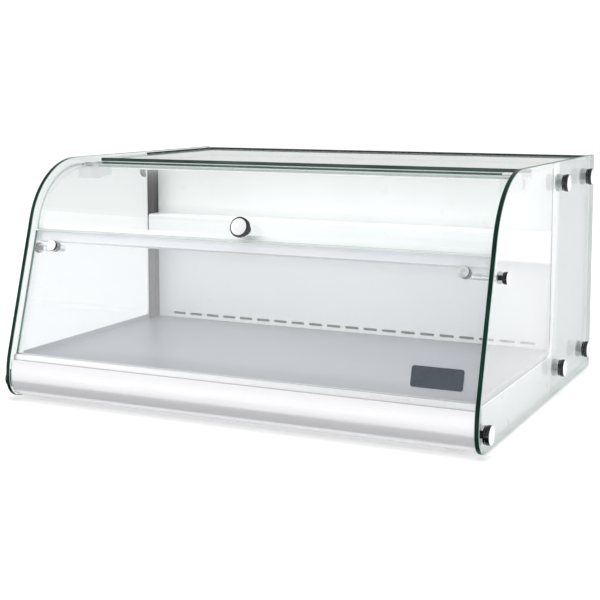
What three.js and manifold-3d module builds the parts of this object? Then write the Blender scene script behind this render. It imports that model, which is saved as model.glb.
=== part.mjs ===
// Countertop refrigerated display: two shaped side glasses, a fixed lower front pane, a curved
// lift-up glass flap, a glass top, and a white body that holds the deck and the refrigeration.
// Millimetres, +Z up. The customer side faces -Y, and X runs along the width.
// Inside the cabinet group, y is the distance behind the nose of the side glasses, and z is zero
// a little above their bottom edge.

import * as THREE from 'three';
import { mergeVertices } from 'three/addons/utils/BufferGeometryUtils.js';
import Module from 'manifold-3d';

const wasm = await Module();
wasm.setup();

// ---------------------------------------------------------------- driving dimensions

const WIDTH = 845; // across the outer faces of the side glasses
const DEPTH = 700; // nose to rear edge
const HEIGHT = 400; // top edge of the side glasses
const BOTTOM = -7; // bottom edge of the side glasses
const FOOT_HEIGHT = 4; // rubber feet below the side glasses
const GAP = 0.3; // between neighbours that rest on each other

// Outline of the side glasses, seen from the side
const LEAN = THREE.MathUtils.degToRad(16.8); // of the straight front, back from vertical
const NOSE_R = 34; // bottom front corner
const NOSE_TOP = 34; // where the upright nose ends and the blend starts
const BLEND_R = 142; // from the nose into the straight front
const ROOF_R = 140; // from the straight front into the top edge

// Glass
const SIDE_GLASS = 8;
const TOP_GLASS = 6;
const PANE = 6;
const PANE_INSET = 12; // pane's front face, inside the side glass outline
const FLAP = 5;
const FLAP_INSET = 11;
const FLAP_BOTTOM = 281;
const FLAP_REAR = 263;
const FLAP_SIDE_CLEARANCE = 3;
const TOP_GLASS_FRONT = 285;

// Flap hinge axis
const PIVOT_Y = 268;
const PIVOT_Z = 372;

// Body
const DECK_TOP = 62; // cavity floor, and top of the base strip of the end panels
const HOUSING_FRONT = 439; // front edge of the rear strip of the end panels
const BULKHEAD_Y = 477; // rear wall of the food cavity
const PARTITION_Y = 541; // insulated wall before the machine space
const SHEET = 1.5; // sheet metal thickness
const PANEL = 3; // end panel thickness
const LINER = 1.7; // dark liner on the inside of each end panel
const COVER_REAR = 697; // outer face of the rear cover

// Fixing bolts of each side glass, as [y, z], and the smaller hole of the pane clamp
const BOLTS = {
  top_mid: [462, 362],
  top_rear: [642, 362],
  bottom_mid: [462, 36],
  bottom_rear: [642, 36],
  nose: [26, 24],
};
const BOLT_SHANK_R = 4;
const BOLT_HOLE_R = 6;

// Pane clamps, measured in the plane of the straight front
const CLAMP_IN = 42; // from the inner face of the side glass to the clamp's disc
const CLAMP_UP = 190; // up the slope from its foot
const CLAMP_BACK = 48; // rod axis behind the outline
const CLAMP_R = 6.25;
const CLAMP_SCREW_R = 3;

// Knob, measured in the plane of the straight front
const KNOB_UP = 236;
const KNOB_SCREW_R = 3;

// ---------------------------------------------------------------- derived places

const SIDE_OUT = WIDTH / 2;
const SIDE_IN = SIDE_OUT - SIDE_GLASS;
const BODY_OUT = SIDE_IN - GAP; // body pieces against the side glasses
const LINER_OUT = BODY_OUT - PANEL - GAP;
const INNER = LINER_OUT - LINER - GAP; // body pieces between the liners
const SINE = Math.sin(LEAN);
const COSINE = Math.cos(LEAN);
const TOP_UNDERSIDE = HEIGHT - 5 - TOP_GLASS;

// Foot of the straight front and centre of the roof arc
const slopeFoot = { y: BLEND_R * (1 - COSINE), z: NOSE_TOP + BLEND_R * SINE };
const roofFootZ = HEIGHT - ROOF_R * (1 - SINE);
const roofCentre = {
  y: slopeFoot.y + (roofFootZ - slopeFoot.z) * Math.tan(LEAN) + ROOF_R * COSINE,
  z: HEIGHT - ROOF_R,
};

// y of the straight front at height z, moved inwards by an inset
const frontY = (z, inset) =>
  slopeFoot.y + (z - slopeFoot.z) * Math.tan(LEAN) + inset / COSINE;

// ---------------------------------------------------------------- groups and materials

const display = new THREE.Group();
const cabinet = new THREE.Group();
cabinet.position.set(0, -DEPTH / 2, FOOT_HEIGHT - BOTTOM);
display.add(cabinet);

// Axes of this group: x along the width, y up the slope, z out of the straight front
const frontPlane = new THREE.Group();
frontPlane.position.set(0, slopeFoot.y, slopeFoot.z);
frontPlane.rotation.x = Math.PI / 2 - LEAN;
cabinet.add(frontPlane);

const finish = (color, roughness, metalness) => ({ color, roughness, metalness });
const CLEAR_GLASS = finish(0xdfe9e6, 0.05, 0);
const WHITE_PAINT = finish(0xf1f2f2, 0.4, 0);
const ALUMINIUM = finish(0xe4e5e8, 0.35, 0.6);
const CHROME = finish(0xd8d8da, 0.12, 1);
const DARK_LINER = finish(0x3c3d3f, 0.3, 0.4);
const STAINLESS = finish(0x8d8f93, 0.35, 0.9);
const FOAM = finish(0xd9c99a, 0.9, 0);
const BLACK_PLASTIC = finish(0x1d1e20, 0.5, 0);
const BLACK_STEEL = finish(0x232427, 0.45, 0.5);
const FIN_METAL = finish(0xb9bdc0, 0.4, 0.9);
const RUBBER = finish(0x202020, 0.9, 0);
const DIFFUSER = finish(0xfafaf5, 0.6, 0);

function add(name, geometry, look, parent = cabinet) {
  const mesh = new THREE.Mesh(geometry, new THREE.MeshStandardMaterial(look));
  mesh.name = name;
  parent.add(mesh);
  return mesh;
}

// ---------------------------------------------------------------- shape helpers

const mid = ([low, high]) => (low + high) / 2;
const span = ([low, high]) => high - low;

function box(x, y, z) {
  const geometry = new THREE.BoxGeometry(span(x), span(y), span(z));
  return geometry.translate(mid(x), mid(y), mid(z));
}

const X_AXIS = new THREE.Vector3(1, 0, 0);
const Y_AXIS = new THREE.Vector3(0, 1, 0);
const Z_AXIS = new THREE.Vector3(0, 0, 1);
const FROM_SIDE = new THREE.Matrix4().makeBasis(Y_AXIS, Z_AXIS, X_AXIS);
const FROM_FRONT = new THREE.Matrix4().makeBasis(X_AXIS, Z_AXIS, Y_AXIS.clone().negate());

function extrude(shape, depth, curveSegments = 8) {
  return new THREE.ExtrudeGeometry(shape, { depth, bevelEnabled: false, curveSegments });
}

// A shape drawn from the side, y across and z up, swept along the width
function sweepWidth(shape, [low, high]) {
  return extrude(shape, high - low).applyMatrix4(FROM_SIDE).translate(low, 0, 0);
}

// A shape drawn from the front, x across and z up, swept along the depth
function sweepDepth(shape, [low, high], curveSegments = 8) {
  return extrude(shape, high - low, curveSegments).applyMatrix4(FROM_FRONT).translate(0, high, 0);
}

function polygon(points) {
  return new THREE.Shape(points.map(([u, v]) => new THREE.Vector2(u, v)));
}

function rectangle([u0, u1], [v0, v1], radius = 0) {
  if (radius === 0) return polygon([[u0, v0], [u1, v0], [u1, v1], [u0, v1]]);
  const shape = new THREE.Shape();
  const quarter = Math.PI / 2;
  shape.absarc(u1 - radius, v0 + radius, radius, -quarter, 0, false);
  shape.absarc(u1 - radius, v1 - radius, radius, 0, quarter, false);
  shape.absarc(u0 + radius, v1 - radius, radius, quarter, Math.PI, false);
  shape.absarc(u0 + radius, v0 + radius, radius, Math.PI, 3 * quarter, false);
  return shape;
}

// A round hole, which runs the other way round than its outline
function punch(shape, u, v, radius) {
  const clockwise = !THREE.ShapeUtils.isClockWise(shape.getPoints());
  const hole = new THREE.Path();
  hole.absarc(u, v, radius, 0, Math.PI * 2, clockwise);
  shape.holes.push(hole);
}

function rod(radius, from, to, segments = 20) {
  const start = new THREE.Vector3(...from);
  const along = new THREE.Vector3(...to).sub(start);
  const turn = new THREE.Quaternion().setFromUnitVectors(Y_AXIS, along.clone().normalize());
  const geometry = new THREE.CylinderGeometry(radius, radius, along.length(), segments);
  const middle = start.addScaledVector(along, 0.5);
  return geometry.applyQuaternion(turn).translate(middle.x, middle.y, middle.z);
}

// A solid of revolution about Y. The points are [radius, height], from the lowest up.
function turned(points, segments = 20) {
  return new THREE.LatheGeometry(points.map(([r, h]) => new THREE.Vector2(r, h)), segments);
}

function toSolid(geometry) {
  const plain = geometry.clone();
  plain.deleteAttribute('normal');
  plain.deleteAttribute('uv');
  const merged = mergeVertices(plain);
  const corners = merged.index.array;
  const triangles = [];
  for (let i = 0; i < corners.length; i += 3) {
    const [a, b, c] = corners.slice(i, i + 3);
    if (a !== b && b !== c && c !== a) triangles.push(a, b, c);
  }
  const vertProperties = new Float32Array(merged.attributes.position.array);
  const triVerts = new Uint32Array(triangles);
  return new wasm.Manifold(new wasm.Mesh({ numProp: 3, vertProperties, triVerts }));
}

function toGeometry(solid) {
  const mesh = solid.getMesh();
  const geometry = new THREE.BufferGeometry();
  geometry.setAttribute('position', new THREE.BufferAttribute(mesh.vertProperties, 3));
  geometry.setIndex(new THREE.BufferAttribute(mesh.triVerts, 1));
  return geometry;
}

const join = (first, ...rest) =>
  toGeometry(rest.reduce((solid, next) => solid.add(toSolid(next)), toSolid(first)));

const cut = (first, ...rest) =>
  toGeometry(rest.reduce((solid, next) => solid.subtract(toSolid(next)), toSolid(first)));

const SIDES = [['left', -1], ['right', 1]];
const outward = (side, low, high) => (side > 0 ? [low, high] : [-high, -low]);

// ---------------------------------------------------------------- side glasses

function sideGlassShape() {
  const shape = new THREE.Shape();
  shape.moveTo(DEPTH, BOTTOM);
  shape.lineTo(NOSE_R, BOTTOM);
  shape.absarc(NOSE_R, BOTTOM + NOSE_R, NOSE_R, -Math.PI / 2, -Math.PI, true);
  shape.absarc(BLEND_R, NOSE_TOP, BLEND_R, Math.PI, Math.PI - LEAN, true);
  shape.absarc(roofCentre.y, roofCentre.z, ROOF_R, Math.PI - LEAN, Math.PI / 2, true);
  shape.lineTo(DEPTH, HEIGHT);
  Object.values(BOLTS).forEach(([y, z]) => punch(shape, y, z, BOLT_HOLE_R));
  const clampY = slopeFoot.y + CLAMP_UP * SINE + CLAMP_BACK * COSINE;
  const clampZ = slopeFoot.z + CLAMP_UP * COSINE - CLAMP_BACK * SINE;
  punch(shape, clampY, clampZ, CLAMP_SCREW_R + 1);
  return shape;
}

for (const [name, side] of SIDES) {
  const glass = sweepWidth(sideGlassShape(), outward(side, SIDE_IN, SIDE_OUT));
  add(`side_glass_${name}`, glass, CLEAR_GLASS);
}

// ---------------------------------------------------------------- bolts of the side glasses

const CAP_R = 15;
const CAP_HEIGHT = 11;
const BOLT_DEPTH = SIDE_GLASS + PANEL - GAP; // how far a shank reaches inwards

function boltShape() {
  return turned([
    [0, -BOLT_DEPTH],
    [BOLT_SHANK_R, -BOLT_DEPTH],
    [BOLT_SHANK_R, GAP],
    [CAP_R - 1.5, GAP],
    [CAP_R - 1.5, 2],
    [CAP_R, 2.5],
    [CAP_R, CAP_HEIGHT - 1],
    [CAP_R - 1, CAP_HEIGHT],
    [0, CAP_HEIGHT],
  ]);
}

for (const [name, side] of SIDES) {
  for (const [place, [y, z]] of Object.entries(BOLTS)) {
    const bolt = add(`glass_bolt_${place}_${name}`, boltShape(), CHROME);
    bolt.rotation.z = (-side * Math.PI) / 2;
    bolt.position.set(side * SIDE_OUT, y, z);
  }
}

// ---------------------------------------------------------------- lower pane and its clamps

const PANE_BACK = PANE_INSET + PANE;
const paneBottom = (DECK_TOP + 2 - slopeFoot.z + PANE_BACK * SINE) / COSINE;
const paneTop = (FLAP_BOTTOM - 3 - slopeFoot.z + PANE_INSET * SINE) / COSINE;
const paneHalf = SIDE_IN - 1;
const clampX = SIDE_IN - CLAMP_IN;

const paneShape = rectangle([-paneHalf, paneHalf], [paneBottom, paneTop]);
punch(paneShape, -clampX, CLAMP_UP, CLAMP_SCREW_R + 1);
punch(paneShape, clampX, CLAMP_UP, CLAMP_SCREW_R + 1);
const pane = extrude(paneShape, PANE).translate(0, 0, -PANE_BACK);
add('lower_pane', pane, CLEAR_GLASS, frontPlane);

const CLAMP_HEAD_R = 9.5;
const CLAMP_FLANGE = 5;

function clampGeometry(side) {
  const start = [side * BODY_OUT, CLAMP_UP, -CLAMP_BACK];
  const elbow = [side * (clampX - CLAMP_R), CLAMP_UP, -CLAMP_BACK];
  const knee = [side * clampX, CLAMP_UP, -CLAMP_BACK];
  const tip = [side * clampX, CLAMP_UP, -PANE_BACK - GAP];
  const flangeStart = [side * clampX, CLAMP_UP, -PANE_BACK - GAP - CLAMP_FLANGE];
  const arm = join(
    rod(CLAMP_R, start, elbow),
    rod(CLAMP_R - 1, knee, tip),
    rod(CLAMP_HEAD_R - 0.25, flangeStart, tip, 28),
  );
  const beyondTip = [side * clampX, CLAMP_UP, -PANE_BACK + 1];
  const discHoleEnd = [side * clampX, CLAMP_UP, -PANE_BACK - 14];
  const boltHoleEnd = [side * (SIDE_IN - 16), CLAMP_UP, -CLAMP_BACK];
  const beyondStart = [side * SIDE_IN, CLAMP_UP, -CLAMP_BACK];
  const bore = CLAMP_SCREW_R + GAP;
  return cut(arm, rod(bore, beyondTip, discHoleEnd), rod(bore, beyondStart, boltHoleEnd));
}

// A round-headed screw along Y: head above the seat, shank below it
function screwShape(headRadius, headHeight, shankRadius, shankLength) {
  return turned([
    [0, -shankLength],
    [shankRadius, -shankLength],
    [shankRadius, GAP],
    [headRadius, GAP],
    [headRadius, headHeight - 0.8],
    [headRadius - 0.8, headHeight],
    [0, headHeight],
  ]);
}

for (const [name, side] of SIDES) {
  add(`pane_clamp_${name}`, clampGeometry(side), CHROME, frontPlane);
  const disc = screwShape(CLAMP_HEAD_R - 0.25, 4.3, CLAMP_SCREW_R, PANE + 12);
  const discMesh = add(`pane_disc_${name}`, disc, CHROME, frontPlane);
  discMesh.rotation.x = Math.PI / 2;
  discMesh.position.set(side * clampX, CLAMP_UP, -PANE_INSET);
  const bolt = screwShape(CLAMP_HEAD_R, 8, CLAMP_SCREW_R, SIDE_GLASS + 14);
  const boltMesh = add(`clamp_bolt_${name}`, bolt, CHROME, frontPlane);
  boltMesh.rotation.z = (-side * Math.PI) / 2;
  boltMesh.position.set(side * SIDE_OUT, CLAMP_UP, -CLAMP_BACK);
}

// Blank plate at the lower right of the pane
const BADGE_WIDTH = 82;
const BADGE_HEIGHT = 32;
const BADGE_RIGHT = 390;
const BADGE_UP = 14;
const badgeShape = rectangle(
  [BADGE_RIGHT - BADGE_WIDTH, BADGE_RIGHT],
  [BADGE_UP, BADGE_UP + BADGE_HEIGHT],
  4,
);
const badge = extrude(badgeShape, 0.8, 4).translate(0, 0, GAP - PANE_INSET);
add('badge_plate', badge, BLACK_PLASTIC, frontPlane);

// ---------------------------------------------------------------- flap, knob and hinges

const flapHalf = SIDE_IN - FLAP_SIDE_CLEARANCE;
const CLIP_CHEEK = 3.5;
const BRACKET = 4;
const clipOut = BODY_OUT - BRACKET - GAP;
const notchX = clipOut - CLIP_CHEEK - GAP; // flap edge beside the hinge clips
const clipX = [clipOut - 26, clipOut];
const JAW_Y = [PIVOT_Y - 62, PIVOT_Y - 24]; // under the glass
const PLATE_Y = [PIVOT_Y - 46, PIVOT_Y - 24]; // on top of the glass
const EYE_R = 8; // round end of the clip, about the hinge axis

function flapShape() {
  const shape = new THREE.Shape();
  const bottomY = frontY(FLAP_BOTTOM, FLAP_INSET);
  const outer = ROOF_R - FLAP_INSET;
  shape.moveTo(bottomY + FLAP * COSINE, FLAP_BOTTOM - FLAP * SINE);
  shape.lineTo(bottomY, FLAP_BOTTOM);
  shape.absarc(roofCentre.y, roofCentre.z, outer, Math.PI - LEAN, Math.PI / 2, true);
  shape.lineTo(FLAP_REAR, HEIGHT - FLAP_INSET);
  shape.lineTo(FLAP_REAR, HEIGHT - FLAP_INSET - FLAP);
  shape.absarc(roofCentre.y, roofCentre.z, outer - FLAP, Math.PI / 2, Math.PI - LEAN, false);
  return shape;
}

const knobY = slopeFoot.y + KNOB_UP * SINE;
const knobZ = slopeFoot.z + KNOB_UP * COSINE;
const flap = cut(
  sweepWidth(flapShape(), [-flapHalf, flapHalf]),
  box([notchX, SIDE_IN], [PLATE_Y[0] - 4, DEPTH], [PIVOT_Z, HEIGHT]),
  box([-SIDE_IN, -notchX], [PLATE_Y[0] - 4, DEPTH], [PIVOT_Z, HEIGHT]),
  rod(KNOB_SCREW_R + 1, [0, knobY, knobZ], [0, knobY + 30 * COSINE, knobZ - 30 * SINE]),
);
add('flap_glass', flap, CLEAR_GLASS);

const KNOB_HEAD_R = 16.75;
const KNOB_NECK_R = 8.5;
const KNOB_BORE = 12;
const knobBody = turned(
  [
    [0, GAP],
    [KNOB_NECK_R + 1.5, GAP],
    [KNOB_NECK_R + 1.5, 1.8],
    [KNOB_NECK_R, 2.6],
    [KNOB_NECK_R, 11],
    [KNOB_HEAD_R - 1, 15],
    [KNOB_HEAD_R, 16.5],
    [KNOB_HEAD_R, 22.5],
    [KNOB_HEAD_R - 1.5, 25],
    [0, 25],
  ],
  28,
);
const knobMesh = add(
  'flap_knob',
  cut(knobBody, rod(KNOB_SCREW_R + GAP, [0, -1, 0], [0, KNOB_BORE, 0])),
  CHROME,
  frontPlane,
);
knobMesh.rotation.x = Math.PI / 2;
knobMesh.position.set(0, KNOB_UP, -FLAP_INSET);

const knobScrew = screwShape(7, 3, KNOB_SCREW_R, FLAP + KNOB_BORE - 2);
const knobScrewMesh = add('knob_screw', knobScrew, CHROME, frontPlane);
knobScrewMesh.rotation.x = -Math.PI / 2;
knobScrewMesh.position.set(0, KNOB_UP, -FLAP_INSET - FLAP - GAP);

const PIN_R = 3;
const clipUnderside = HEIGHT - FLAP_INSET - FLAP - GAP;
const clipTop = HEIGHT - FLAP_INSET + GAP;

for (const [name, side] of SIDES) {
  const across = outward(side, ...clipX);
  const cheek = outward(side, clipOut - CLIP_CHEEK, clipOut);
  const clip = join(
    box(across, JAW_Y, [PIVOT_Z - 10, clipUnderside]),
    box(cheek, PLATE_Y, [PIVOT_Z, clipTop + 2.2]),
    box(across, PLATE_Y, [clipTop, clipTop + 2.2]),
    box(across, [JAW_Y[1] - 1, PIVOT_Y], [PIVOT_Z - EYE_R, PIVOT_Z + EYE_R]),
    rod(EYE_R, [across[0], PIVOT_Y, PIVOT_Z], [across[1], PIVOT_Y, PIVOT_Z]),
  );
  const boreEnd = [side * (clipOut - 20), PIVOT_Y, PIVOT_Z];
  const bore = rod(PIN_R + 0.2, [side * SIDE_IN, PIVOT_Y, PIVOT_Z], boreEnd);
  add(`hinge_clip_${name}`, cut(clip, bore), ALUMINIUM);

  const plateShape = rectangle([PIVOT_Y - 12, PIVOT_Y + 12], [PIVOT_Z - 14, PIVOT_Z + 11.5], 4);
  const plate = sweepWidth(plateShape, outward(side, BODY_OUT - BRACKET, BODY_OUT));
  const pinRoot = [side * (BODY_OUT - 1), PIVOT_Y, PIVOT_Z];
  const pinTip = [side * (clipOut - 18), PIVOT_Y, PIVOT_Z];
  add(`hinge_bracket_${name}`, join(plate, rod(PIN_R, pinRoot, pinTip)), ALUMINIUM);
}

// ---------------------------------------------------------------- top glass and light bar

const topHalf = SIDE_IN - 0.5;
const TOP_GLASS_REAR = COVER_REAR - 2.5;
const topGlassShape = polygon([
  [-topHalf, TOP_GLASS_FRONT],
  [topHalf, TOP_GLASS_FRONT],
  [topHalf, HOUSING_FRONT - 2],
  [INNER, HOUSING_FRONT - 2],
  [INNER, TOP_GLASS_REAR],
  [-INNER, TOP_GLASS_REAR],
  [-INNER, HOUSING_FRONT - 2],
  [-topHalf, HOUSING_FRONT - 2],
]);
add('top_glass', extrude(topGlassShape, TOP_GLASS).translate(0, 0, TOP_UNDERSIDE), CLEAR_GLASS);

const LED_Y = [TOP_GLASS_FRONT + 2, TOP_GLASS_FRONT + 21];
const LED_Z = [TOP_UNDERSIDE - GAP - 11.5, TOP_UNDERSIDE - GAP];
const ledShape = rectangle(LED_Y, LED_Z, 1.5);
add('led_bar', sweepWidth(ledShape, [-BODY_OUT, BODY_OUT]), ALUMINIUM);
const diffuserShape = polygon([
  [LED_Y[0] + 2.5, LED_Z[0] - GAP],
  [LED_Y[0] + 4, LED_Z[0] - 2.8],
  [LED_Y[1] - 4, LED_Z[0] - 2.8],
  [LED_Y[1] - 2.5, LED_Z[0] - GAP],
]);
add('led_diffuser', sweepWidth(diffuserShape, [-INNER, INNER]), DIFFUSER);

// ---------------------------------------------------------------- cross rail

// The rail's back edge, groove and faces, as [up the slope, behind the outline]
const RAIL_UP = [200, 228];
const RAIL_BACK = [PANE_BACK + 0.5, 40];
const GROOVE = { at: 212, half: 1.5, deep: 2 };
const alongSlope = ([up, back]) => [
  slopeFoot.y + up * SINE + back * COSINE,
  slopeFoot.z + up * COSINE - back * SINE,
];
const railShape = polygon(
  [
    [RAIL_UP[0], RAIL_BACK[0]],
    [RAIL_UP[0], RAIL_BACK[1]],
    [RAIL_UP[1], RAIL_BACK[1]],
    [RAIL_UP[1], RAIL_BACK[0]],
    [GROOVE.at + GROOVE.half, RAIL_BACK[0]],
    [GROOVE.at + GROOVE.half, RAIL_BACK[0] + GROOVE.deep],
    [GROOVE.at - GROOVE.half, RAIL_BACK[0] + GROOVE.deep],
    [GROOVE.at - GROOVE.half, RAIL_BACK[0]],
  ].map(alongSlope),
);
add('cross_rail', sweepWidth(railShape, [-BODY_OUT, BODY_OUT]), ALUMINIUM);

// ---------------------------------------------------------------- front apron and pane channel

const APRON_INSET = 3;
const APRON_WALL = 3;
const APRON_TOP = DECK_TOP - 1;
const APRON_REAR = 34;
const PORT_R = 9;

function apronShape() {
  const shape = new THREE.Shape();
  const inner = APRON_INSET + APRON_WALL;
  const noseZ = BOTTOM + NOSE_R;
  const rise = (radius, z) => Math.PI - Math.asin((z - NOSE_TOP) / radius);
  const outerBlend = BLEND_R - APRON_INSET;
  const innerBlend = BLEND_R - inner;
  const innerTop = APRON_TOP - APRON_WALL;
  shape.moveTo(APRON_REAR, BOTTOM + APRON_INSET);
  shape.absarc(NOSE_R, noseZ, NOSE_R - APRON_INSET, -Math.PI / 2, -Math.PI, true);
  shape.absarc(BLEND_R, NOSE_TOP, outerBlend, Math.PI, rise(outerBlend, APRON_TOP), true);
  shape.lineTo(APRON_REAR, APRON_TOP);
  shape.lineTo(APRON_REAR, innerTop);
  shape.absarc(BLEND_R, NOSE_TOP, innerBlend, rise(innerBlend, innerTop), Math.PI, false);
  shape.absarc(NOSE_R, noseZ, NOSE_R - inner, -Math.PI, -Math.PI / 2, false);
  return shape;
}

const [portY, portZ] = BOLTS.nose;
const apronX = [-BODY_OUT, BODY_OUT];
const apron = cut(
  join(
    sweepWidth(apronShape(), apronX),
    rod(PORT_R, [-BODY_OUT, portY, portZ], [BODY_OUT, portY, portZ], 16),
    box(apronX, [portY - 2, portY + 2], [BOTTOM + APRON_INSET + 1, portZ]),
  ),
  rod(BOLT_SHANK_R + 0.4, [-SIDE_OUT, portY, portZ], [SIDE_OUT, portY, portZ], 16),
);
add('front_apron', apron, ALUMINIUM);

const CHANNEL_TOP = DECK_TOP + 8;
const channelBottom = APRON_TOP + GAP;
const grooveBottom = channelBottom + 2;
const channelCorners = [
  [channelBottom, PANE_INSET - 3.5],
  [channelBottom, PANE_BACK + 3.5],
  [CHANNEL_TOP, PANE_BACK + 3.5],
  [CHANNEL_TOP, PANE_BACK + 0.4],
  [grooveBottom, PANE_BACK + 0.4],
  [grooveBottom, PANE_INSET - 0.4],
  [CHANNEL_TOP, PANE_INSET - 0.4],
  [CHANNEL_TOP, PANE_INSET - 3.5],
];
const channelShape = polygon(channelCorners.map(([z, inset]) => [frontY(z, inset), z]));
add('pane_channel', sweepWidth(channelShape, [-BODY_OUT, BODY_OUT]), ALUMINIUM);

// ---------------------------------------------------------------- end panels and liners

const CORNER_R = 30;
const PANEL_FRONT = APRON_REAR + 2;
const TRAY_BOTTOM = BOTTOM + GAP; // underside of the end panels and the base tray

function endPanelShape() {
  const shape = new THREE.Shape();
  shape.moveTo(PANEL_FRONT, TRAY_BOTTOM);
  shape.lineTo(COVER_REAR, TRAY_BOTTOM);
  shape.lineTo(COVER_REAR, HEIGHT - 2);
  shape.lineTo(HOUSING_FRONT, HEIGHT - 2);
  shape.absarc(
    HOUSING_FRONT - CORNER_R, DECK_TOP + CORNER_R, CORNER_R, 0, -Math.PI / 2, true,
  );
  shape.lineTo(PANEL_FRONT, DECK_TOP);
  for (const [place, [y, z]] of Object.entries(BOLTS)) {
    if (place !== 'nose') punch(shape, y, z, BOLT_SHANK_R + 0.5);
  }
  return shape;
}

const linerShape = rectangle([HOUSING_FRONT + 0.5, COVER_REAR], [DECK_TOP + 0.4, HEIGHT - 2]);
for (const [name, side] of SIDES) {
  const panel = sweepWidth(endPanelShape(), outward(side, BODY_OUT - PANEL, BODY_OUT));
  add(`end_panel_${name}`, panel, WHITE_PAINT);
  const liner = sweepWidth(linerShape, outward(side, LINER_OUT - LINER, LINER_OUT));
  add(`end_liner_${name}`, liner, DARK_LINER);
}

// ---------------------------------------------------------------- base, insulation and deck

const TRAY_FRONT = PANEL_FRONT + 1;
const TRAY_REAR = COVER_REAR - 2.3;
const TRAY_TOP = TRAY_BOTTOM + 2;
const trayShape = polygon([
  [TRAY_FRONT, TRAY_BOTTOM],
  [TRAY_REAR, TRAY_BOTTOM],
  [TRAY_REAR, 40],
  [TRAY_REAR - SHEET, 40],
  [TRAY_REAR - SHEET, TRAY_TOP],
  [TRAY_FRONT + SHEET, TRAY_TOP],
  [TRAY_FRONT + SHEET, DECK_TOP - 4],
  [TRAY_FRONT, DECK_TOP - 4],
]);
add('base_tray', sweepWidth(trayShape, [-LINER_OUT, LINER_OUT]), WHITE_PAINT);

const PARTITION = 25;
const foamFront = TRAY_FRONT + SHEET + GAP;
const foamBottom = TRAY_TOP + GAP;
const foamDeck = DECK_TOP - SHEET - 2 * GAP;
const foamTop = TOP_UNDERSIDE - 3;
const foamShape = polygon([
  [foamFront, foamBottom],
  [PARTITION_Y + PARTITION, foamBottom],
  [PARTITION_Y + PARTITION, foamTop],
  [PARTITION_Y, foamTop],
  [PARTITION_Y, foamDeck],
  [foamFront, foamDeck],
]);
add('insulation', sweepWidth(foamShape, [-INNER, INNER]), FOAM);

const DECK_RIM = 10;
const deckY = [APRON_REAR + 0.5, BULKHEAD_Y - 0.5];
const rimY = [deckY[0], HOUSING_FRONT - 0.5];
const deckSheet = [DECK_TOP - SHEET, DECK_TOP];
const rimZ = [DECK_TOP - SHEET, DECK_TOP + DECK_RIM];
const deck = join(
  box([-LINER_OUT, LINER_OUT], deckY, deckSheet),
  box([-LINER_OUT, -LINER_OUT + SHEET], rimY, rimZ),
  box([LINER_OUT - SHEET, LINER_OUT], rimY, rimZ),
);
add('deck_pan', deck, STAINLESS);

for (const [name, side] of SIDES) {
  for (const [end, y] of [['front', 70], ['rear', 640]]) {
    const pad = turned([[0, -FOOT_HEIGHT], [16, -FOOT_HEIGHT], [18, -1], [18, 0], [0, 0]]);
    const foot = add(`foot_${end}_${name}`, pad.rotateX(Math.PI / 2), RUBBER);
    foot.position.set(side * 370, y, BOTTOM);
  }
}

// ---------------------------------------------------------------- rear wall and air duct

const FAN_X = 0;
const FAN_Z = 247;
const FAN_R = 41;
const FAN_HALF = 46;

const bulkheadShape = rectangle([-INNER, INNER], [DECK_TOP + 0.4, TOP_UNDERSIDE - 0.6]);
const bulkheadY = [BULKHEAD_Y, BULKHEAD_Y + SHEET];
const throughBulkhead = [BULKHEAD_Y - 5, BULKHEAD_Y + 5];

// A row of slots, centred on the width
function slotRow(count, pitch, width, y, z) {
  const slots = [];
  for (let i = 0; i < count; i += 1) {
    const centre = (i - (count - 1) / 2) * pitch;
    slots.push(box([centre - width / 2, centre + width / 2], y, z));
  }
  return slots;
}

const fanWindow = box([FAN_X - FAN_R, FAN_X + FAN_R], throughBulkhead, [FAN_Z - 23, FAN_Z + 23]);
const returnSlots = slotRow(20, 38, 28, throughBulkhead, [69, 74]);
const bulkhead = cut(sweepDepth(bulkheadShape, bulkheadY), fanWindow, ...returnSlots);
add('rear_bulkhead', bulkhead, WHITE_PAINT);

const DUCT_Z = [220, 275];
const ductFront = HOUSING_FRONT;
const ductRear = BULKHEAD_Y - GAP;
const ductBox = rectangle([ductFront, ductRear + 10], DUCT_Z, 5);
const ductHollow = rectangle(
  [ductFront + SHEET, ductRear + 20],
  [DUCT_Z[0] + SHEET, DUCT_Z[1] - SHEET],
  3.5,
);
const outletSlots = slotRow(16, 48, 36, [ductFront + 10, ductFront + 24], [210, 230]);
const duct = cut(
  sweepWidth(ductBox, [-INNER, INNER]),
  sweepWidth(ductHollow, [-SIDE_OUT, SIDE_OUT]),
  box([-SIDE_OUT, SIDE_OUT], [ductRear, ductRear + 40], [DUCT_Z[0] - 5, DUCT_Z[1] + 5]),
  ...outletSlots,
);
add('air_duct', duct, WHITE_PAINT);

// ---------------------------------------------------------------- refrigeration

// A comb of fins on a spine, the fins standing on edge towards the front
function finComb([x0, x1], [y0, y1], z, fins) {
  const pitch = (x1 - x0) / (fins - 0.5);
  const points = [[x0, y1]];
  for (let i = 0; i < fins; i += 1) {
    const left = x0 + i * pitch;
    points.push([left, y0], [left + pitch / 2, y0]);
    if (i < fins - 1) points.push([left + pitch / 2, y1 - 8], [left + pitch, y1 - 8]);
  }
  points.push([x1, y1]);
  return extrude(polygon(points.reverse()), span(z)).translate(0, 0, z[0]);
}

// Blades about Y, at a fixed pitch angle, on a round hub
function fanRotor(radius, hubRadius, blades, depth) {
  const parts = [];
  for (let i = 0; i < blades; i += 1) {
    const blade = box([hubRadius - 3, radius - 1], [-1, 1], [-depth, depth]);
    blade.rotateX(THREE.MathUtils.degToRad(58)).rotateY((i * 2 * Math.PI) / blades);
    parts.push(blade);
  }
  return join(rod(hubRadius, [0, -depth, 0], [0, depth, 0], 20), ...parts);
}

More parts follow.
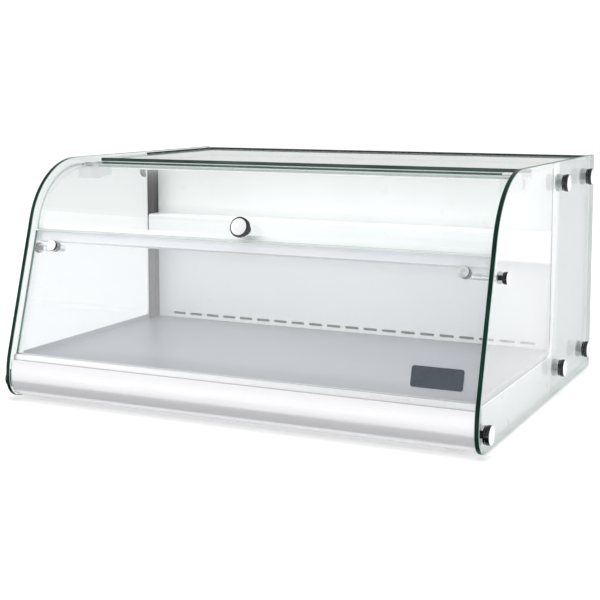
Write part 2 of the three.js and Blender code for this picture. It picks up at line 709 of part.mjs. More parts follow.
// A square frame with a round throat, and a motor on arms behind the rotor
function fanFrame(half, throat, [y0, y1], motorRadius, motorDepth) {
  const plate = rectangle([-half, half], [-half, half]);
  punch(plate, 0, 0, throat);
  const motorY = [y1 - motorDepth, y1];
  const reach = half - 1;
  return join(
    sweepDepth(plate, [y0, y1], 12),
    rod(motorRadius, [0, motorY[0], 0], [0, motorY[1], 0]),
    box([-reach, reach], [y1 - 3, y1], [-2, 2]),
    box([-2, 2], [y1 - 3, y1], [-reach, reach]),
  );
}

add('evaporator_coil', finComb([-180, 180], [486, 532], [84, 194], 30), FIN_METAL);

const evaporatorFrameY = [BULKHEAD_Y + SHEET + GAP, BULKHEAD_Y + SHEET + GAP + 30];
const evaporatorFrame = add(
  'evaporator_fan_frame',
  fanFrame(FAN_HALF, FAN_R + 1, evaporatorFrameY, 15, 8),
  BLACK_PLASTIC,
);
evaporatorFrame.position.set(FAN_X, 0, FAN_Z);
const EVAPORATOR_ROTOR_Y = evaporatorFrameY[0] + 11;
const evaporatorRotor = add('evaporator_fan_rotor', fanRotor(FAN_R, 15, 7, 9), BLACK_PLASTIC);
evaporatorRotor.position.set(FAN_X, EVAPORATOR_ROTOR_Y, FAN_Z);

const CONDENSER_X = 170;
const CONDENSER_Z = 180;
const CONDENSER_HALF = 105;
const CONDENSER_FAN_R = 88;
const machineFront = PARTITION_Y + PARTITION + 4;
const condenserFinsY = [machineFront, machineFront + 30];
const shroudY = [condenserFinsY[1] - 2, condenserFinsY[1] + 50];
const condenserX = [CONDENSER_X - CONDENSER_HALF, CONDENSER_X + CONDENSER_HALF];
const condenserZ = [CONDENSER_Z - CONDENSER_HALF, CONDENSER_Z + CONDENSER_HALF];
const shroud = fanFrame(CONDENSER_HALF, CONDENSER_FAN_R + 2, shroudY, 28, 12);
shroud.translate(CONDENSER_X, 0, CONDENSER_Z);
const condenserFins = finComb(condenserX, condenserFinsY, condenserZ, 26);
const condenserStand = box(condenserX, [shroudY[0], shroudY[1] - 4], [TRAY_TOP + GAP, condenserZ[0] + 2]);
add('condenser', join(condenserFins, shroud, condenserStand), BLACK_STEEL);
const CONDENSER_ROTOR_Y = shroudY[0] + 22;
const condenserRotor = add('condenser_fan_rotor', fanRotor(CONDENSER_FAN_R, 26, 5, 13), BLACK_PLASTIC);
condenserRotor.position.set(CONDENSER_X, CONDENSER_ROTOR_Y, CONDENSER_Z);

const shell = turned(
  [[0, 0], [50, 0], [56, 8], [58, 30], [58, 92], [54, 112], [42, 132], [24, 144], [0, 148]],
  24,
);
const shellStanding = shell.rotateX(Math.PI / 2);
const compressor = join(
  shellStanding.translate(-180, 630, 14),
  box([-250, -110], [575, 685], [6, 18]),
  box([-130, -108], [600, 660], [50, 100]),
  ...[[-240, 585], [-120, 585], [-240, 675], [-120, 675]].map(([x, y]) =>
    rod(8, [x, y, TRAY_TOP + GAP], [x, y, 10], 12)),
);
add('compressor', compressor, BLACK_STEEL);

// ---------------------------------------------------------------- rear cover

const coverTop = TOP_UNDERSIDE - GAP;
const COVER_LIP = TOP_UNDERSIDE + TOP_GLASS + 2.5;
const coverShape = polygon([
  [COVER_REAR - 2, BOTTOM + 3],
  [COVER_REAR, BOTTOM + 3],
  [COVER_REAR, COVER_LIP],
  [COVER_REAR - 2, COVER_LIP],
  [COVER_REAR - 2, coverTop],
  [BULKHEAD_Y + 2, coverTop],
  [BULKHEAD_Y + 2, coverTop - 2],
  [COVER_REAR - 2, coverTop - 2],
]);
const throughCover = [COVER_REAR - 10, COVER_REAR + 10];

function louvreBank([x0, x1], [z0, z1], pitch) {
  const slots = [];
  for (let z = z0; z <= z1; z += pitch) slots.push(box([x0, x1], throughCover, [z, z + 5]));
  return slots;
}

const CONTROL_X = -320;
const CONTROL_Z = 330;
const CONTROL_HALF = [58, 26]; // body of the control panel
const INLET_X = -320;
const INLET_Z = 60;
const INLET_HALF = [15, 12];
const hole = (centre, half) => [centre - half - 0.5, centre + half + 0.5];

const cover = cut(
  sweepWidth(coverShape, [-INNER, INNER]),
  ...louvreBank([90, 250], [100, 250], 13),
  ...louvreBank([-250, -110], [60, 180], 13),
  box(hole(CONTROL_X, CONTROL_HALF[0]), throughCover, hole(CONTROL_Z, CONTROL_HALF[1])),
  box(hole(INLET_X, INLET_HALF[0]), throughCover, hole(INLET_Z, INLET_HALF[1])),
);
add('rear_cover', cover, WHITE_PAINT);

// ---------------------------------------------------------------- controls on the rear cover

const around = (centre, half) => [centre - half, centre + half];
const BEZEL_REAR = 699;
const BEZEL = [COVER_REAR + GAP, BEZEL_REAR];
const BUTTON_R = 4.5;
const BUTTON_Z = CONTROL_Z - 14;
const BUTTONS = { set: CONTROL_X + 44, up: CONTROL_X + 28, down: CONTROL_X + 12 };
const BUTTON_FLOOR = 690;
const ROCKERS = { power: CONTROL_X - 18, light: CONTROL_X - 42 };
const ROCKER_HALF = [7, 9];
const ROCKER_PIVOT_Y = 692.8;
const ROCKER_TILT = THREE.MathUtils.degToRad(7);

const buttonWells = Object.values(BUTTONS).map((x) =>
  rod(BUTTON_R + 0.4, [x, BUTTON_FLOOR, BUTTON_Z], [x, DEPTH + 5, BUTTON_Z]));
const rockerWells = Object.values(ROCKERS).map((x) =>
  box(around(x, ROCKER_HALF[0] + 0.5), [686, DEPTH + 5], around(CONTROL_Z, ROCKER_HALF[1] + 1.5)));
const displayWindow = box(
  [CONTROL_X + 6, CONTROL_X + 50],
  [BEZEL_REAR - 1, DEPTH + 5],
  [CONTROL_Z, CONTROL_Z + 18],
);
const controlBody = join(
  box(around(CONTROL_X, CONTROL_HALF[0] + 4), BEZEL, around(CONTROL_Z, CONTROL_HALF[1] + 4)),
  box(around(CONTROL_X, CONTROL_HALF[0]), [680, BEZEL_REAR], around(CONTROL_Z, CONTROL_HALF[1])),
);
add('control_panel', cut(controlBody, ...buttonWells, ...rockerWells, displayWindow), BLACK_PLASTIC);

for (const [name, x] of Object.entries(BUTTONS)) {
  const length = DEPTH - BUTTON_FLOOR - 1.3;
  const cap = turned([
    [0, 0],
    [BUTTON_R, 0],
    [BUTTON_R, length - 0.6],
    [BUTTON_R - 0.6, length],
    [0, length],
  ]);
  const button = add(`button_${name}`, cap, DARK_LINER);
  button.position.set(x, BUTTON_FLOOR + 1.3, BUTTON_Z);
}

for (const [name, x] of Object.entries(ROCKERS)) {
  const [, half] = ROCKER_HALF;
  const shape = polygon([[-4, -half + 2], [6, -half], [4.4, 0], [6, half], [-4, half - 2]]);
  const rocker = add(`rocker_${name}`, sweepWidth(shape, around(0, ROCKER_HALF[0])), BLACK_PLASTIC);
  rocker.rotation.x = ROCKER_TILT;
  rocker.position.set(x, ROCKER_PIVOT_Y, CONTROL_Z);
}

const inletBody = join(
  box(around(INLET_X, 25), BEZEL, around(INLET_Z, 14.5)),
  box(around(INLET_X, INLET_HALF[0]), [672, BEZEL_REAR], around(INLET_Z, INLET_HALF[1])),
);
const inletSocket = box(around(INLET_X, 12.2), [683, DEPTH + 5], around(INLET_Z, 8.2));
const INLET_PINS = [[-7, -1.5], [0, 2], [7, -1.5]];
const inletPins = INLET_PINS.map(([x, z]) =>
  box(around(INLET_X + x, 1), [680, 696], around(INLET_Z + z, 2.5)));
add('mains_inlet', join(cut(inletBody, inletSocket), ...inletPins), BLACK_PLASTIC);

export default display;
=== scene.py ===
"""Looks of a countertop refrigerated display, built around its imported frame.

Lengths are in metres. A place in the side view is (back, up): the distance behind the nose of the
side glasses, and the height above the frame source's zero, a little above their bottom edge.
"""

import math

import bmesh
import bpy
from mathutils import Matrix, Vector

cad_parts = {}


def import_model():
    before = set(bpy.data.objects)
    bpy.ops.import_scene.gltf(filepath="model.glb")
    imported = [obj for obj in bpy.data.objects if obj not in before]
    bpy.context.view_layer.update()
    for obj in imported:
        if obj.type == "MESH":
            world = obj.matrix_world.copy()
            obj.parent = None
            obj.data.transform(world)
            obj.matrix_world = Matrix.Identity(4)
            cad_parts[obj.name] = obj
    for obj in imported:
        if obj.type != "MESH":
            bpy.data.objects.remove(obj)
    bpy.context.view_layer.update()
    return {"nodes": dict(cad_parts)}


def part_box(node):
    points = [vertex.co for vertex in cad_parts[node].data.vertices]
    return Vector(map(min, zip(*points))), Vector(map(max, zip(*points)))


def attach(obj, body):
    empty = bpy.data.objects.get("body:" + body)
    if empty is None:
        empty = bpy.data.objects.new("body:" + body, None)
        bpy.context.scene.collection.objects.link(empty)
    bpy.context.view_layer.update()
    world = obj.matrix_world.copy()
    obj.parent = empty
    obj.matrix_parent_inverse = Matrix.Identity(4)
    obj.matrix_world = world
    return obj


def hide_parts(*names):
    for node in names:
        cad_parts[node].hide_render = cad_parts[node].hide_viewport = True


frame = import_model()
MM = 0.001

# ---------- places, from the frame

glass_low, glass_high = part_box("side_glass_right")
SIDE_IN, SIDE_OUT = glass_low.x, glass_high.x
NOSE_Y = glass_low.y
BOTTOM = -7 * MM  # of the side glasses, from the zero height
ZERO_Z = glass_low.z - BOTTOM
DEPTH = glass_high.y - NOSE_Y
HEIGHT = glass_high.z - ZERO_Z

# Outline of the side glasses, as in the frame's source
LEAN = math.radians(16.8)
NOSE_R, NOSE_TOP = 34 * MM, 34 * MM
BLEND_R = 142 * MM
ROOF_R = 140 * MM
SINE, COSINE = math.sin(LEAN), math.cos(LEAN)
SLOPE_FOOT = Vector((BLEND_R * (1 - COSINE), NOSE_TOP + BLEND_R * SINE))
ROOF_CENTRE = Vector((
    SLOPE_FOOT.x + (HEIGHT - ROOF_R * (1 - SINE) - SLOPE_FOOT.y) * math.tan(LEAN) + ROOF_R * COSINE,
    HEIGHT - ROOF_R,
))

GAP = 0.3 * MM  # between pieces that touch
DECK_TOP = 62 * MM
PANE_INSET, PANE = 12 * MM, 6 * MM
FLAP_INSET, FLAP = 11 * MM, 5 * MM
APRON_INSET, APRON_WALL = 3 * MM, 3 * MM
CLAMP_UP, CLAMP_BACK = 190 * MM, 48 * MM
KNOB_UP = 236 * MM

SIDES = {"left": -1, "right": 1}
X, Y, Z = Vector((1, 0, 0)), Vector((0, 1, 0)), Vector((0, 0, 1))
OUT_OF_FRONT = Vector((0, -COSINE, SINE))
UP_THE_FRONT = Vector((0, SINE, COSINE))


def side_view(back, up):
    """World y and z of a place in the side view."""
    return NOSE_Y + back, ZERO_Z + up


def world(x, back, up):
    return Vector((x, *side_view(back, up)))


def local(node):
    """The box of a frame node as (x, back, up) of its low and high corner."""
    low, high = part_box(node)
    origin = Vector((0, NOSE_Y, ZERO_Z))
    return low - origin, high - origin


def centre(node):
    low, high = local(node)
    return (low + high) / 2


def on_front(x, up, back):
    """World point in the plane of the straight front: up its slope, and back behind the outline."""
    return world(x, *SLOPE_FOOT) + up * UP_THE_FRONT - back * OUT_OF_FRONT


def axes(u, v, w, origin):
    """The matrix that takes a shape's own axes u, v and w to these world directions."""
    matrix = Matrix((u, v, w)).transposed().to_4x4()
    matrix.translation = origin
    return matrix


def from_side(x):
    """u is back, v is up and w is +X, from x."""
    return axes(Y, Z, X, world(x, 0, 0))


def from_front_plane(back):
    """u is +X, v is up the slope and w is out of the front, from back behind the outline."""
    return axes(X, UP_THE_FRONT, OUT_OF_FRONT, on_front(0, 0, back))


def from_above(up):
    """u is +X, v is back and w is +Z, from a height."""
    return axes(X, Y, Z, world(0, 0, up))


def from_behind(back):
    """u is -X, v is up and w is +Y, from back behind the nose."""
    return axes(-X, Z, Y, world(0, back, 0))


def pointing(origin, direction):
    """w along direction, for turned pieces."""
    turn = Vector(direction).to_track_quat("Z", "Y").to_matrix().to_4x4()
    return Matrix.Translation(origin) @ turn


# ---------- outlines

def arc(centre, radius, start, end, steps):
    """Points on an arc. The angles are in degrees."""
    points = []
    for i in range(steps + 1):
        angle = math.radians(start + (end - start) * i / steps)
        points.append(Vector(centre) + radius * Vector((math.cos(angle), math.sin(angle))))
    return points


def circle(u, v, radius, steps=32):
    return arc((u, v), radius, 0, 360, steps)[:-1]


def rectangle(u, v, radius=0.0, steps=5):
    (u0, u1), (v0, v1) = u, v
    if radius == 0:
        return [Vector(p) for p in ((u0, v0), (u1, v0), (u1, v1), (u0, v1))]
    points = []
    corners = ((u1, v0, -1, 1), (u1, v1, -1, -1), (u0, v1, 1, -1), (u0, v0, 1, 1))
    for i, (cu, cv, du, dv) in enumerate(corners):
        points += arc((cu + du * radius, cv + dv * radius), radius, 90 * i - 90, 90 * i, steps)
    return points


def fillet(points, radius, steps=4):
    """The open outline with its corners rounded."""
    points = [Vector(p) for p in points]
    nearly_straight = math.radians(85)
    longest_share = 0.45  # of the neighbouring stretch
    rounded = [points[0]]
    for last, here, following in zip(points, points[1:], points[2:]):
        before, after = last - here, following - here
        half = before.angle(after) / 2
        longest = min(before.length, after.length) * longest_share
        reach = min(radius / math.tan(half), longest)
        if half > nearly_straight or reach <= 0:
            rounded.append(here)
            continue
        start, end = here + before.normalized() * reach, here + after.normalized() * reach
        for k in range(steps + 1):
            t = k / steps
            rounded.append(start * (1 - t) ** 2 + here * 2 * t * (1 - t) + end * t**2)
    return rounded + [points[-1]]


def wound(loop, counterclockwise):
    """The loop's points in this direction."""
    loop = [Vector(p) for p in loop]
    double_area = sum(a.x * b.y - b.x * a.y for a, b in zip(loop, loop[1:] + loop[:1]))
    return loop if (double_area > 0) == counterclockwise else loop[::-1]


def shrunk(loop, distance):
    """The loop moved to its left, which is into the material."""
    moved = []
    for before, here, after in zip(loop[-1:] + loop[:-1], loop, loop[1:] + loop[:1]):
        first, second = (here - before).normalized(), (after - here).normalized()
        mitre = Vector((-first.y - second.y, first.x + second.x))
        moved.append(here + mitre * (2 * distance / mitre.length_squared))
    return moved


def front_outline():
    """The side glasses' front outline, from its foot under the nose to the roof."""
    lean = math.degrees(LEAN)
    nose = arc((NOSE_R, BOTTOM + NOSE_R), NOSE_R, -90, -180, 14)
    blend = arc((BLEND_R, NOSE_TOP), BLEND_R, 180, 180 - lean, 8)
    roof = arc(ROOF_CENTRE, ROOF_R, 180 - lean, 90, 28)
    return nose + blend + roof


# ---------- mesh building

CREASE = 30  # degrees between faces, from which an edge is sharp
ROUND_CREASE = 50  # the same on turned and round pieces


def new_object(name, bm, materials, sharp=CREASE):
    """A mesh that is smooth up to the sharp angle between its faces."""
    bmesh.ops.recalc_face_normals(bm, faces=bm.faces)
    for face in bm.faces:
        face.smooth = True
    mesh = bpy.data.meshes.new(name)
    bm.to_mesh(mesh)
    bm.free()
    mesh.set_sharp_from_angle(angle=math.radians(sharp))
    for material in materials:
        mesh.materials.append(material)
    obj = bpy.data.objects.new(name, mesh)
    bpy.context.scene.collection.objects.link(obj)
    return obj


def weighted(obj):
    """Flat faces stay flat beside their rounded edges."""
    modifier = obj.modifiers.new("flat", "WEIGHTED_NORMAL")
    modifier.keep_sharp = True
    return obj


# The fourth slot is a glass edge with painted lighting: lighter on the panes, darker on the flap's rear
# edge.
FACE, SIDE, ARRIS, PAINTED_LIGHTING = 0, 1, 2, 3


def add_prism(bm, outline, thickness, place, holes=(), edge=0.5 * MM, steps=1, indices=(0, 0, 0), pale=None):
    """An outline swept along w, with rounded or chamfered edges and holes.

    A stretch of the outline takes the fourth index, an edge with painted lighting, where pale(start, end)
    says so.
    """
    loops = [wound(outline, True)] + [wound(hole, False) for hole in holes]
    start = []
    for i in range(steps + 1):
        angle = math.pi / 2 * i / steps
        start.append((edge * (1 - math.cos(angle)), edge * (1 - math.sin(angle))))
    levels = start + [(thickness - w, inset) for w, inset in reversed(start)]
    caps = [[], []]
    for loop in loops:
        rings = []
        for w, inset in levels:
            ring = shrunk(loop, inset) if inset > 0 else loop
            rings.append([bm.verts.new(place @ Vector((p.x, p.y, w))) for p in ring])
        for k, (low, high) in enumerate(zip(rings, rings[1:])):
            index = indices[SIDE] if k == steps else indices[ARRIS]
            for i in range(len(loop)):
                j = (i + 1) % len(loop)
                face = bm.faces.new((low[i], low[j], high[j], high[i]))
                is_painted_lighting = pale and pale(loop[i], loop[j])
                face.material_index = indices[PAINTED_LIGHTING] if is_painted_lighting else index
        caps[0].append(rings[0])
        caps[1].append(rings[-1])
    for rings in caps:
        if len(rings) == 1:
            bm.faces.new(rings[0]).material_index = indices[FACE]
            continue
        edges = [bm.edges.get((r[i], r[(i + 1) % len(r)])) for r in rings for i in range(len(r))]
        filled = bmesh.ops.triangle_fill(bm, use_beauty=True, edges=edges)
        for item in filled["geom"]:
            if isinstance(item, bmesh.types.BMFace):
                item.material_index = indices[FACE]


def prism(name, outline, thickness, place, materials, **shape):
    """An object of one prism. The shape is as for add_prism."""
    bm = bmesh.new()
    add_prism(bm, outline, thickness, place, **shape)
    return weighted(new_object(name, bm, materials))


def add_turned(bm, profile, place, steps=40, indices=(0, 0)):
    """A solid of revolution about w. The profile is (radius, w) from axis to axis.

    Faces whose profile runs mostly along w take the second index.
    """
    rings = []
    for radius, w in profile:
        on_axis = radius < 1e-7
        points = [(0, 0)] if on_axis else circle(0, 0, radius, steps)
        rings.append([bm.verts.new(place @ Vector((*point, w))) for point in points])
    for k, (low, high) in enumerate(zip(rings, rings[1:])):
        step = Vector(profile[k + 1]) - Vector(profile[k])
        barrel = abs(step.y) > 0.3 * abs(step.x)
        for i in range(steps):
            j = (i + 1) % steps
            corners = [low[i % len(low)], low[j % len(low)], high[j % len(high)], high[i % len(high)]]
            face = bm.faces.new(list(dict.fromkeys(corners)))
            face.material_index = indices[1] if barrel else indices[0]


def turned(name, profile, place, materials, steps=40):
    """The first material is for the faces, and the second for the barrel; on the chrome pieces the barrel's
    finish carries a painted dark reflection.
    """
    bm = bmesh.new()
    add_turned(bm, profile, place, steps, (0, len(materials) - 1))
    return new_object(name, bm, materials, sharp=ROUND_CREASE)


def add_skin(bm, rings):
    """Faces from each ring to the next, and one on each end."""
    for low, high in zip(rings, rings[1:]):
        for k in range(len(low)):
            m = (k + 1) % len(low)
            bm.faces.new((low[k], low[m], high[m], high[k]))
    for ring in (rings[0], rings[-1]):
        bm.faces.new(ring)


def add_pipe(bm, points, radius, steps):
    """A round bar along points, closed at both ends."""
    across = (points[1] - points[0]).orthogonal().normalized()
    rings = []
    for i, point in enumerate(points):
        before = point - points[max(i - 1, 0)]
        after = points[min(i + 1, len(points) - 1)] - point
        along = (before.normalized() + after.normalized()).normalized()
        across = (across - along * across.dot(along)).normalized()
        other = along.cross(across)
        rings.append([bm.verts.new(point + across * u + other * v) for u, v in circle(0, 0, radius, steps)])
    add_skin(bm, rings)


def add_bevel(obj, width, segments, angle):
    """Softens the edges that are sharper than the angle, in degrees."""
    bevel = obj.modifiers.new("edges", "BEVEL")
    bevel.width = width
    bevel.segments = segments
    bevel.limit_method = "ANGLE"
    bevel.angle_limit = math.radians(angle)
    return bevel


def baked(obj):
    """Applies the object's modifiers."""
    bpy.context.view_layer.update()
    evaluated = obj.evaluated_get(bpy.context.evaluated_depsgraph_get())
    mesh = bpy.data.meshes.new_from_object(evaluated)
    obj.modifiers.clear()
    obj.data = mesh
    mesh.set_sharp_from_angle(angle=math.radians(CREASE))
    return obj


def fit(obj, node, body="cabinet"):
    """obj stands for a frame node: it joins the body, and the node is hidden."""
    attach(obj, body)
    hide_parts(node)


def dress(node, material):
    """A frame node keeps its shape and gets its finish and softened edges."""
    obj = frame["nodes"][node]
    obj.data.materials.clear()
    obj.data.materials.append(material)
    attributes = obj.data.attributes
    for name in ("custom_normal", "sharp_edge"):
        if name in attributes:
            attributes.remove(attributes[name])
    for polygon in obj.data.polygons:
        polygon.use_smooth = True
    weld = obj.modifiers.new("weld", "WELD")
    weld.merge_threshold = 0.01 * MM
    flat = obj.modifiers.new("flat", "DECIMATE")
    flat.decimate_type = "DISSOLVE"
    flat.angle_limit = math.radians(1)
    edges = add_bevel(obj, 0.4 * MM, 2, CREASE)
    edges.harden_normals = True
    edges.use_clamp_overlap = True


# ---------- material building

MIDDLE = (0.3, 0.7)  # the range of the noise that shows
OPAQUE_WHITE = (1, 1, 1, 1)


def socket_name(name):
    """The socket's own name, such as To Min for to_min."""
    return name.replace("_", " ").title().replace("Ior", "IOR")


def add_node(tree, kind, **values):
    """A new node. The values are for its sockets, or else for its settings."""
    node = tree.nodes.new(kind)
    for name, value in values.items():
        socket = socket_name(name)
        if socket in node.inputs:
            node.inputs[socket].default_value = value
        else:
            setattr(node, name, value)
    return node


class Finish:
    """A node material with helpers for the patterns that the finishes share."""

    def __init__(self, name, colour=(0.8, 0.8, 0.8), roughness=0.5, metallic=0.0, **sockets):
        self.material = bpy.data.materials.new(name)
        self.material.use_nodes = True
        self.tree = self.material.node_tree
        self.shader = self.tree.nodes["Principled BSDF"]
        sockets.update(base_color=(*colour, 1), roughness=roughness, metallic=metallic)
        for socket, value in sockets.items():
            self.shader.inputs[socket_name(socket)].default_value = value
        self.material.diffuse_color = (*colour, 1)

    def node(self, kind, **values):
        return add_node(self.tree, kind, **values)

    def link(self, source, target):
        self.tree.links.new(source, target)

    def noise(self, scale, stretch=(1, 1, 1), detail=3.0):
        """Noise in the object's own coordinates, in cells per metre."""
        place = self.node("ShaderNodeTexCoord")
        mapping = self.node("ShaderNodeMapping", scale=stretch)
        self.link(place.outputs["Object"], mapping.inputs["Vector"])
        noise = self.node("ShaderNodeTexNoise", scale=scale, detail=detail)
        self.link(mapping.outputs["Vector"], noise.inputs["Vector"])
        return noise.outputs["Fac"]

    def ramp(self, source, **limits):
        ramp = self.node("ShaderNodeMapRange", **limits)
        self.link(source, ramp.inputs["Value"])
        return ramp.outputs["Result"]

    def spread(self, source, low, high):
        """The source's middle range spread from low to high."""
        return self.ramp(source, from_min=MIDDLE[0], from_max=MIDDLE[1], to_min=low, to_max=high)

    def mix(self, share, first, second):
        """Two surfaces mixed. The share is the second one's."""
        mix = self.node("ShaderNodeMixShader")
        for source, socket in zip((share, first, second), mix.inputs):
            self.link(source, socket)
        return mix.outputs["Shader"]

    def mottle(self, source, first, second):
        """The colour runs from the first to the second over the source's middle range."""
        ramp = self.node("ShaderNodeValToRGB")
        for stop, position, colour in zip(ramp.color_ramp.elements, MIDDLE, (first, second)):
            stop.position = position
            stop.color = (*colour, 1)
        self.link(source, ramp.inputs["Fac"])
        self.link(ramp.outputs["Color"], self.shader.inputs["Base Color"])

    def gloss(self, source, low, high):
        self.link(self.spread(source, low, high), self.shader.inputs["Roughness"])

    def bump(self, source, height, strength):
        bump = self.node("ShaderNodeBump", distance=height, strength=strength)
        self.link(source, bump.inputs["Height"])
        self.link(bump.outputs["Normal"], self.shader.inputs["Normal"])

    def surface(self, source):
        self.link(source, self.tree.nodes["Material Output"].inputs["Surface"])


def shade(colour, factor):
    return tuple(min(c * factor, 1) for c in colour)


def painted(name, colour, roughness=0.32, height=0.02 * MM):
    """Powder coat: fine orange peel, faint clouds in colour and gloss."""
    finish = Finish(name, colour, roughness, coat_weight=0.15)
    finish.mottle(finish.noise(6), shade(colour, 0.975), shade(colour, 1.02))
    finish.gloss(finish.noise(30), roughness - 0.05, roughness + 0.07)
    finish.bump(finish.noise(900, detail=1), height, 0.12)
    return finish.material


def brushed(name, colour, roughness, stretch, metallic=1.0):
    """Metal with fine lines. The stretch is smallest along the lines."""
    finish = Finish(name, colour, roughness, metallic)
    lines = finish.noise(2200, stretch, detail=2)
    finish.mottle(finish.noise(500, stretch), shade(colour, 0.94), shade(colour, 1.04))
    finish.gloss(lines, roughness - 0.06, roughness + 0.08)
    finish.bump(lines, 0.01 * MM, 0.3)
    return finish.material


def satin(name, colour, roughness, metallic):
    """Finely blasted and anodised: even, with faint drawing lines along X."""
    finish = Finish(name, colour, roughness, metallic)
    finish.mottle(finish.noise(500, (0.01, 1, 1)), shade(colour, 0.985), shade(colour, 1.01))
    finish.gloss(finish.noise(60, (0.1, 1, 1)), roughness - 0.03, roughness + 0.04)
    finish.bump(finish.noise(1500, detail=1), 0.01 * MM, 0.1)
    return finish.material


def dark_with_painted_reflections(name, dark, light):
    """Dark laminate with upright light streaks in its colour: painted reflections, while its own mirroring
    is nearly off.
    """
    finish = Finish(name, dark, 0.5, specular_ior_level=0.02)
    painted_reflections = finish.noise(160, (1, 1, 0.02))
    finish.mottle(painted_reflections, dark, light)
    finish.gloss(painted_reflections, 0.45, 0.6)
    return finish.material


def polished(name, colour, roughness=0.06):
    """Chrome plate: nearly a mirror, with faint wipe marks in its gloss."""
    finish = Finish(name, colour, roughness, 1.0)
    finish.gloss(finish.noise(120), roughness * 0.6, roughness * 1.8)
    finish.mottle(finish.noise(40), shade(colour, 0.96), shade(colour, 1.02))
    return finish.material


def moulded(name, colour, roughness=0.45, height=0.04 * MM):
    """Moulded plastic with a fine grain."""
    finish = Finish(name, colour, roughness)
    finish.mottle(finish.noise(60), shade(colour, 0.9), shade(colour, 1.12))
    finish.gloss(finish.noise(200), roughness - 0.06, roughness + 0.1)
    finish.bump(finish.noise(2500, detail=1), height, 0.5)
    return finish.material


def foamed(name, colour):
    """Rigid foam with open pores."""
    finish = Finish(name, colour, 0.9)
    finish.mottle(finish.noise(90), shade(colour, 0.88), shade(colour, 1.08))
    finish.bump(finish.noise(700), 0.4 * MM, 0.6)
    return finish.material


def lit(name, colour, brightness):
    """A frosted cover with its lamps on. They show as soft spots along it."""
    finish = Finish(name, colour, 0.4, emission_color=OPAQUE_WHITE)
    spots = finish.spread(finish.noise(24, (1, 0.05, 0.05)), brightness * 0.8, brightness * 1.1)
    finish.link(spots, finish.shader.inputs["Emission Strength"])
    finish.gloss(finish.noise(200), 0.35, 0.5)
    return finish.material


def clear_glass(name, tint, haze=0.0):
    """Thin clear glass: light passes straight through, and each surface mirrors by Fresnel's law.

    Haze is the share of light that each surface scatters instead, as under a milky film.
    """
    refraction = 1.5
    finish = Finish(name)
    finish.tree.nodes.remove(finish.shader)
    clear = finish.node("ShaderNodeBsdfTransparent", color=(*tint, 1))
    mirror = finish.node("ShaderNodeBsdfGlossy", color=OPAQUE_WHITE, roughness=0.01)
    facing = finish.node("ShaderNodeNewGeometry")
    index = finish.ramp(facing.outputs["Backfacing"], to_min=refraction, to_max=1 / refraction)
    fresnel = finish.node("ShaderNodeFresnel")
    finish.link(index, fresnel.inputs["IOR"])
    body = clear.outputs["BSDF"]
    if haze > 0:
        milk = finish.node("ShaderNodeBsdfDiffuse", color=(0.8, 0.81, 0.83, 1))
        share = finish.spread(finish.noise(5), haze * 0.9, haze * 1.1)
        body = finish.mix(share, body, milk.outputs["BSDF"])
    finish.surface(finish.mix(fresnel.outputs["Fac"], body, mirror.outputs["BSDF"]))
    finish.material.diffuse_color = (0.93, 0.97, 0.95, 0.2)
    return finish.material


def glass_edge(name, dark, light, roughness=0.3):
    """The polished edge of float glass: deep green, with lighter stretches along it."""
    finish = Finish(name, dark, roughness, specular_ior_level=0.12)
    finish.mottle(finish.noise(14, detail=2), dark, light)
    finish.bump(finish.noise(300, detail=1), 0.02 * MM, 0.3)
    return finish.material


MATERIALS = {
    "glass": clear_glass("glass", (0.895, 0.904, 0.906)),
    "glass_pale": clear_glass("glass_pale", (0.985, 0.995, 0.99)),
    "glass_milky": clear_glass("glass_milky", (0.96, 0.968, 0.972), 0.12),
    # One green glass edge in copies of different lightness: painted light and shade, by how light falls on
    # each edge. The pale copy is the painted lit one.
    "edge": glass_edge("glass_edge", (0.001, 0.006, 0.004), (0.006, 0.03, 0.022)),
    "edge_mid": glass_edge("glass_edge_mid", (0.1, 0.21, 0.16), (0.15, 0.28, 0.22)),
    "edge_painted_lit": glass_edge("glass_edge_painted_lit", (0.58, 0.66, 0.62), (0.7, 0.76, 0.73)),
    "edge_grey": glass_edge("glass_edge_grey", (0.03, 0.05, 0.042), (0.06, 0.09, 0.08)),
    "arris": glass_edge("glass_arris", (0.22, 0.36, 0.3), (0.4, 0.56, 0.48), 0.35),
    "white": painted("white_paint", (0.86, 0.87, 0.87)),
    "aluminium": satin("white_aluminium", (0.8, 0.8, 0.82), 0.3, 0.5),
    "rail": satin("rail_aluminium", (0.93, 0.93, 0.95), 0.35, 0.2),
    "chrome": polished("chrome", (0.93, 0.93, 0.94), 0.2),
    # A dark copy of the chrome for the barrels: a painted dark reflection.
    "chrome_barrel_painted_reflection": polished("chrome_barrel_painted_reflection", (0.06, 0.062, 0.064), 0.12),
    "liner": dark_with_painted_reflections("dark_liner", (0.001, 0.001, 0.001), (0.09, 0.09, 0.085)),
    "stainless": brushed("stainless", (0.4, 0.405, 0.44), 0.42, (0.01, 1, 1), 0.5),
    "foam": foamed("foam", (0.78, 0.68, 0.42)),
    "diffuser": lit("diffuser", (0.93, 0.93, 0.91), 0.3),
    "black": moulded("black_plastic", (0.018, 0.018, 0.02)),
    "button": moulded("button_grey", (0.09, 0.095, 0.1), 0.35),
    "fins": brushed("fin_metal", (0.62, 0.64, 0.66), 0.35, (1, 1, 0.02)),
    "enamel": painted("black_enamel", (0.02, 0.02, 0.022), 0.2),
    "rubber": moulded("rubber", (0.02, 0.02, 0.02), 0.75, 0.08 * MM),
    "badge": painted("blank_label", (0.045, 0.058, 0.072), 0.3, 0.01 * MM),
    "trim": moulded("edge_trim", (0.01, 0.01, 0.011), 0.35, 0.02 * MM),
    "lens": Finish("display_lens", (0.012, 0.006, 0.007), 0.06, coat_weight=0.5).material,
}


def finishes(*names):
    return [MATERIALS[name] for name in names]


